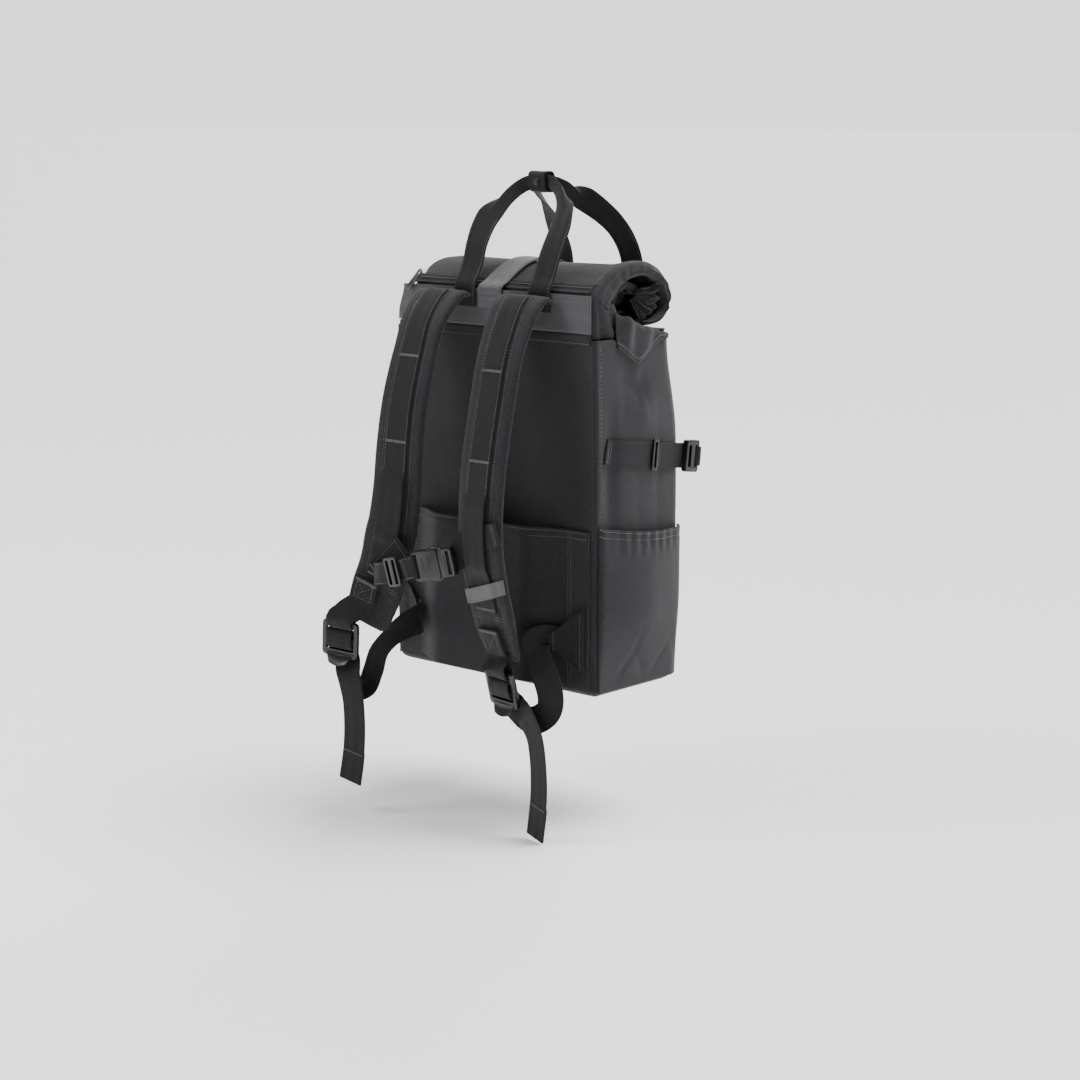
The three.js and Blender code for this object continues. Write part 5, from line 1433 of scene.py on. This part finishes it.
buildBody()
buildRoll()
buildCollarFold(1, "collarFoldRight", "collar_gusset_right")
buildCollarFold(-1, "collarFoldLeft", "collar_gusset_left")
buildCollarCloth()
buildSleeve()
buildPocket(1, "sidePocketRight", "side_pocket_right")
buildPocket(-1, "sidePocketLeft", "side_pocket_left")
print("cloth pieces built")
buildPad("shoulderStrapRight", "shoulder_strap_right", "right")
buildPad("shoulderStrapLeft", "shoulder_strap_left", "left")
buildFaceWebbing("right", "face_webbing_right")
buildFaceWebbing("left", "face_webbing_left")
buildLockSet("right")
buildLockSet("left")
buildWing(1, "anchorWingRight", "anchor_wing_right")
buildWing(-1, "anchorWingLeft", "anchor_wing_left")
print("straps built")
buildHandle("near")
buildHandle("far")
buildKeeper()
buildBand()
buildZip()
buildClosure()
buildSideStrap(1, "right")
buildSideStrap(-1, "left")
buildChest()
buildPatch()
print("handles, closures and chest strap built")


def buildStitches():
    for name, spots in stitchRows.items():
        bpy.ops.object.select_all(action="DESELECT")
        bpy.ops.mesh.primitive_uv_sphere_add(segments=6, ring_count=4, radius=1)
        lump = bpy.context.object
        shaped = bmesh.new()
        shaped.from_mesh(lump.data)
        shaped.transform(Matrix.Rotation(math.pi / 2, 4, "Y"))
        shaped.transform(Matrix.Diagonal((sewing["long"] / 2 * toMetres, sewing["wide"] / 2 * toMetres,
                                          sewing["high"] / 2 * toMetres, 1)))
        shaped.to_mesh(lump.data)
        shaped.free()
        scatter(name, lump, spots, "sewingThread")
    print("stitches sewn:", sum(len(s) for s in stitchRows.values()))


buildStitches()


# Stage, lights and camera
stage = {"floor": -0.16, "size": 90.0}
bpy.ops.object.select_all(action="DESELECT")
bpy.ops.mesh.primitive_plane_add(size=stage["size"], location=(0, 0, stage["floor"]))
floor = bpy.context.object
floor.name = "floor"
pale = bpy.data.materials.new("paleFloor")
pale.use_nodes = True
pale.node_tree.nodes["Principled BSDF"].inputs["Base Color"].default_value = (0.95, 0.95, 0.95, 1)
pale.node_tree.nodes["Principled BSDF"].inputs["Roughness"].default_value = 0.9
floor.data.materials.append(pale)

world = bpy.context.scene.world or bpy.data.worlds.new("softSky")
bpy.context.scene.world = world
world.use_nodes = True
skyTree = world.node_tree
skyTree.nodes.clear()
skyOut = skyTree.nodes.new("ShaderNodeOutputWorld")
skyMix = skyTree.nodes.new("ShaderNodeMixShader")
skyRay = skyTree.nodes.new("ShaderNodeLightPath")
sky = {"ambient": 0.22, "seen": 1.8}
for slot, label in ((1, "ambient"), (2, "seen")):
    glow = skyTree.nodes.new("ShaderNodeBackground")
    glow.inputs[0].default_value = (0.97, 0.98, 1.0, 1)
    glow.inputs[1].default_value = sky[label]
    skyTree.links.new(glow.outputs[0], skyMix.inputs[slot])
skyTree.links.new(skyRay.outputs["Is Camera Ray"], skyMix.inputs[0])
skyTree.links.new(skyMix.outputs[0], skyOut.inputs[0])

suns = [
    {"name": "overheadLight", "place": (0.6, 0.8, 2.0), "from": (0.26, 0.34, 1.0), "energy": 4.9, "angle": 0.7},
    {"name": "rearLight", "place": (-0.6, 2.0, 1.0), "from": (-0.45, 1.0, 0.42), "energy": 2.4, "angle": 0.8},
]
for sun in suns:
    bpy.ops.object.light_add(type="SUN", location=sun["place"])
    light = bpy.context.object
    light.name = sun["name"]
    light.data.energy = sun["energy"]
    light.data.angle = sun["angle"]
    light.rotation_euler = (-Vector(sun["from"])).to_track_quat("-Z", "Y").to_euler()

lamps = [
    {"name": "rightSoftbox", "place": (2.9, 0.9, 1.0), "size": 1.6, "power": 26},
    {"name": "leftSoftbox", "place": (-1.4, -1.7, 2.3), "size": 1.2, "power": 48},
]
for lamp in lamps:
    bpy.ops.object.light_add(type="AREA", location=lamp["place"])
    light = bpy.context.object
    light.name = lamp["name"]
    light.data.energy = lamp["power"]
    light.data.size = lamp["size"]
    light.rotation_euler = (Vector((0, 0.08, 0.25)) - Vector(lamp["place"])).to_track_quat("-Z", "Y").to_euler()

camera = {"place": (1.8703, -1.9860, 0.6706), "aim": (0.0182, 0.0709, 0.1576), "lens": 80.2}
bpy.ops.object.camera_add(location=camera["place"])
photoCamera = bpy.context.object
photoCamera.name = "photoCamera"
photoCamera.data.lens = camera["lens"]
photoCamera.data.sensor_width = 36
photoCamera.rotation_euler = (Vector(camera["aim"]) - Vector(camera["place"])).to_track_quat("-Z", "Y").to_euler()
bpy.context.scene.camera = photoCamera
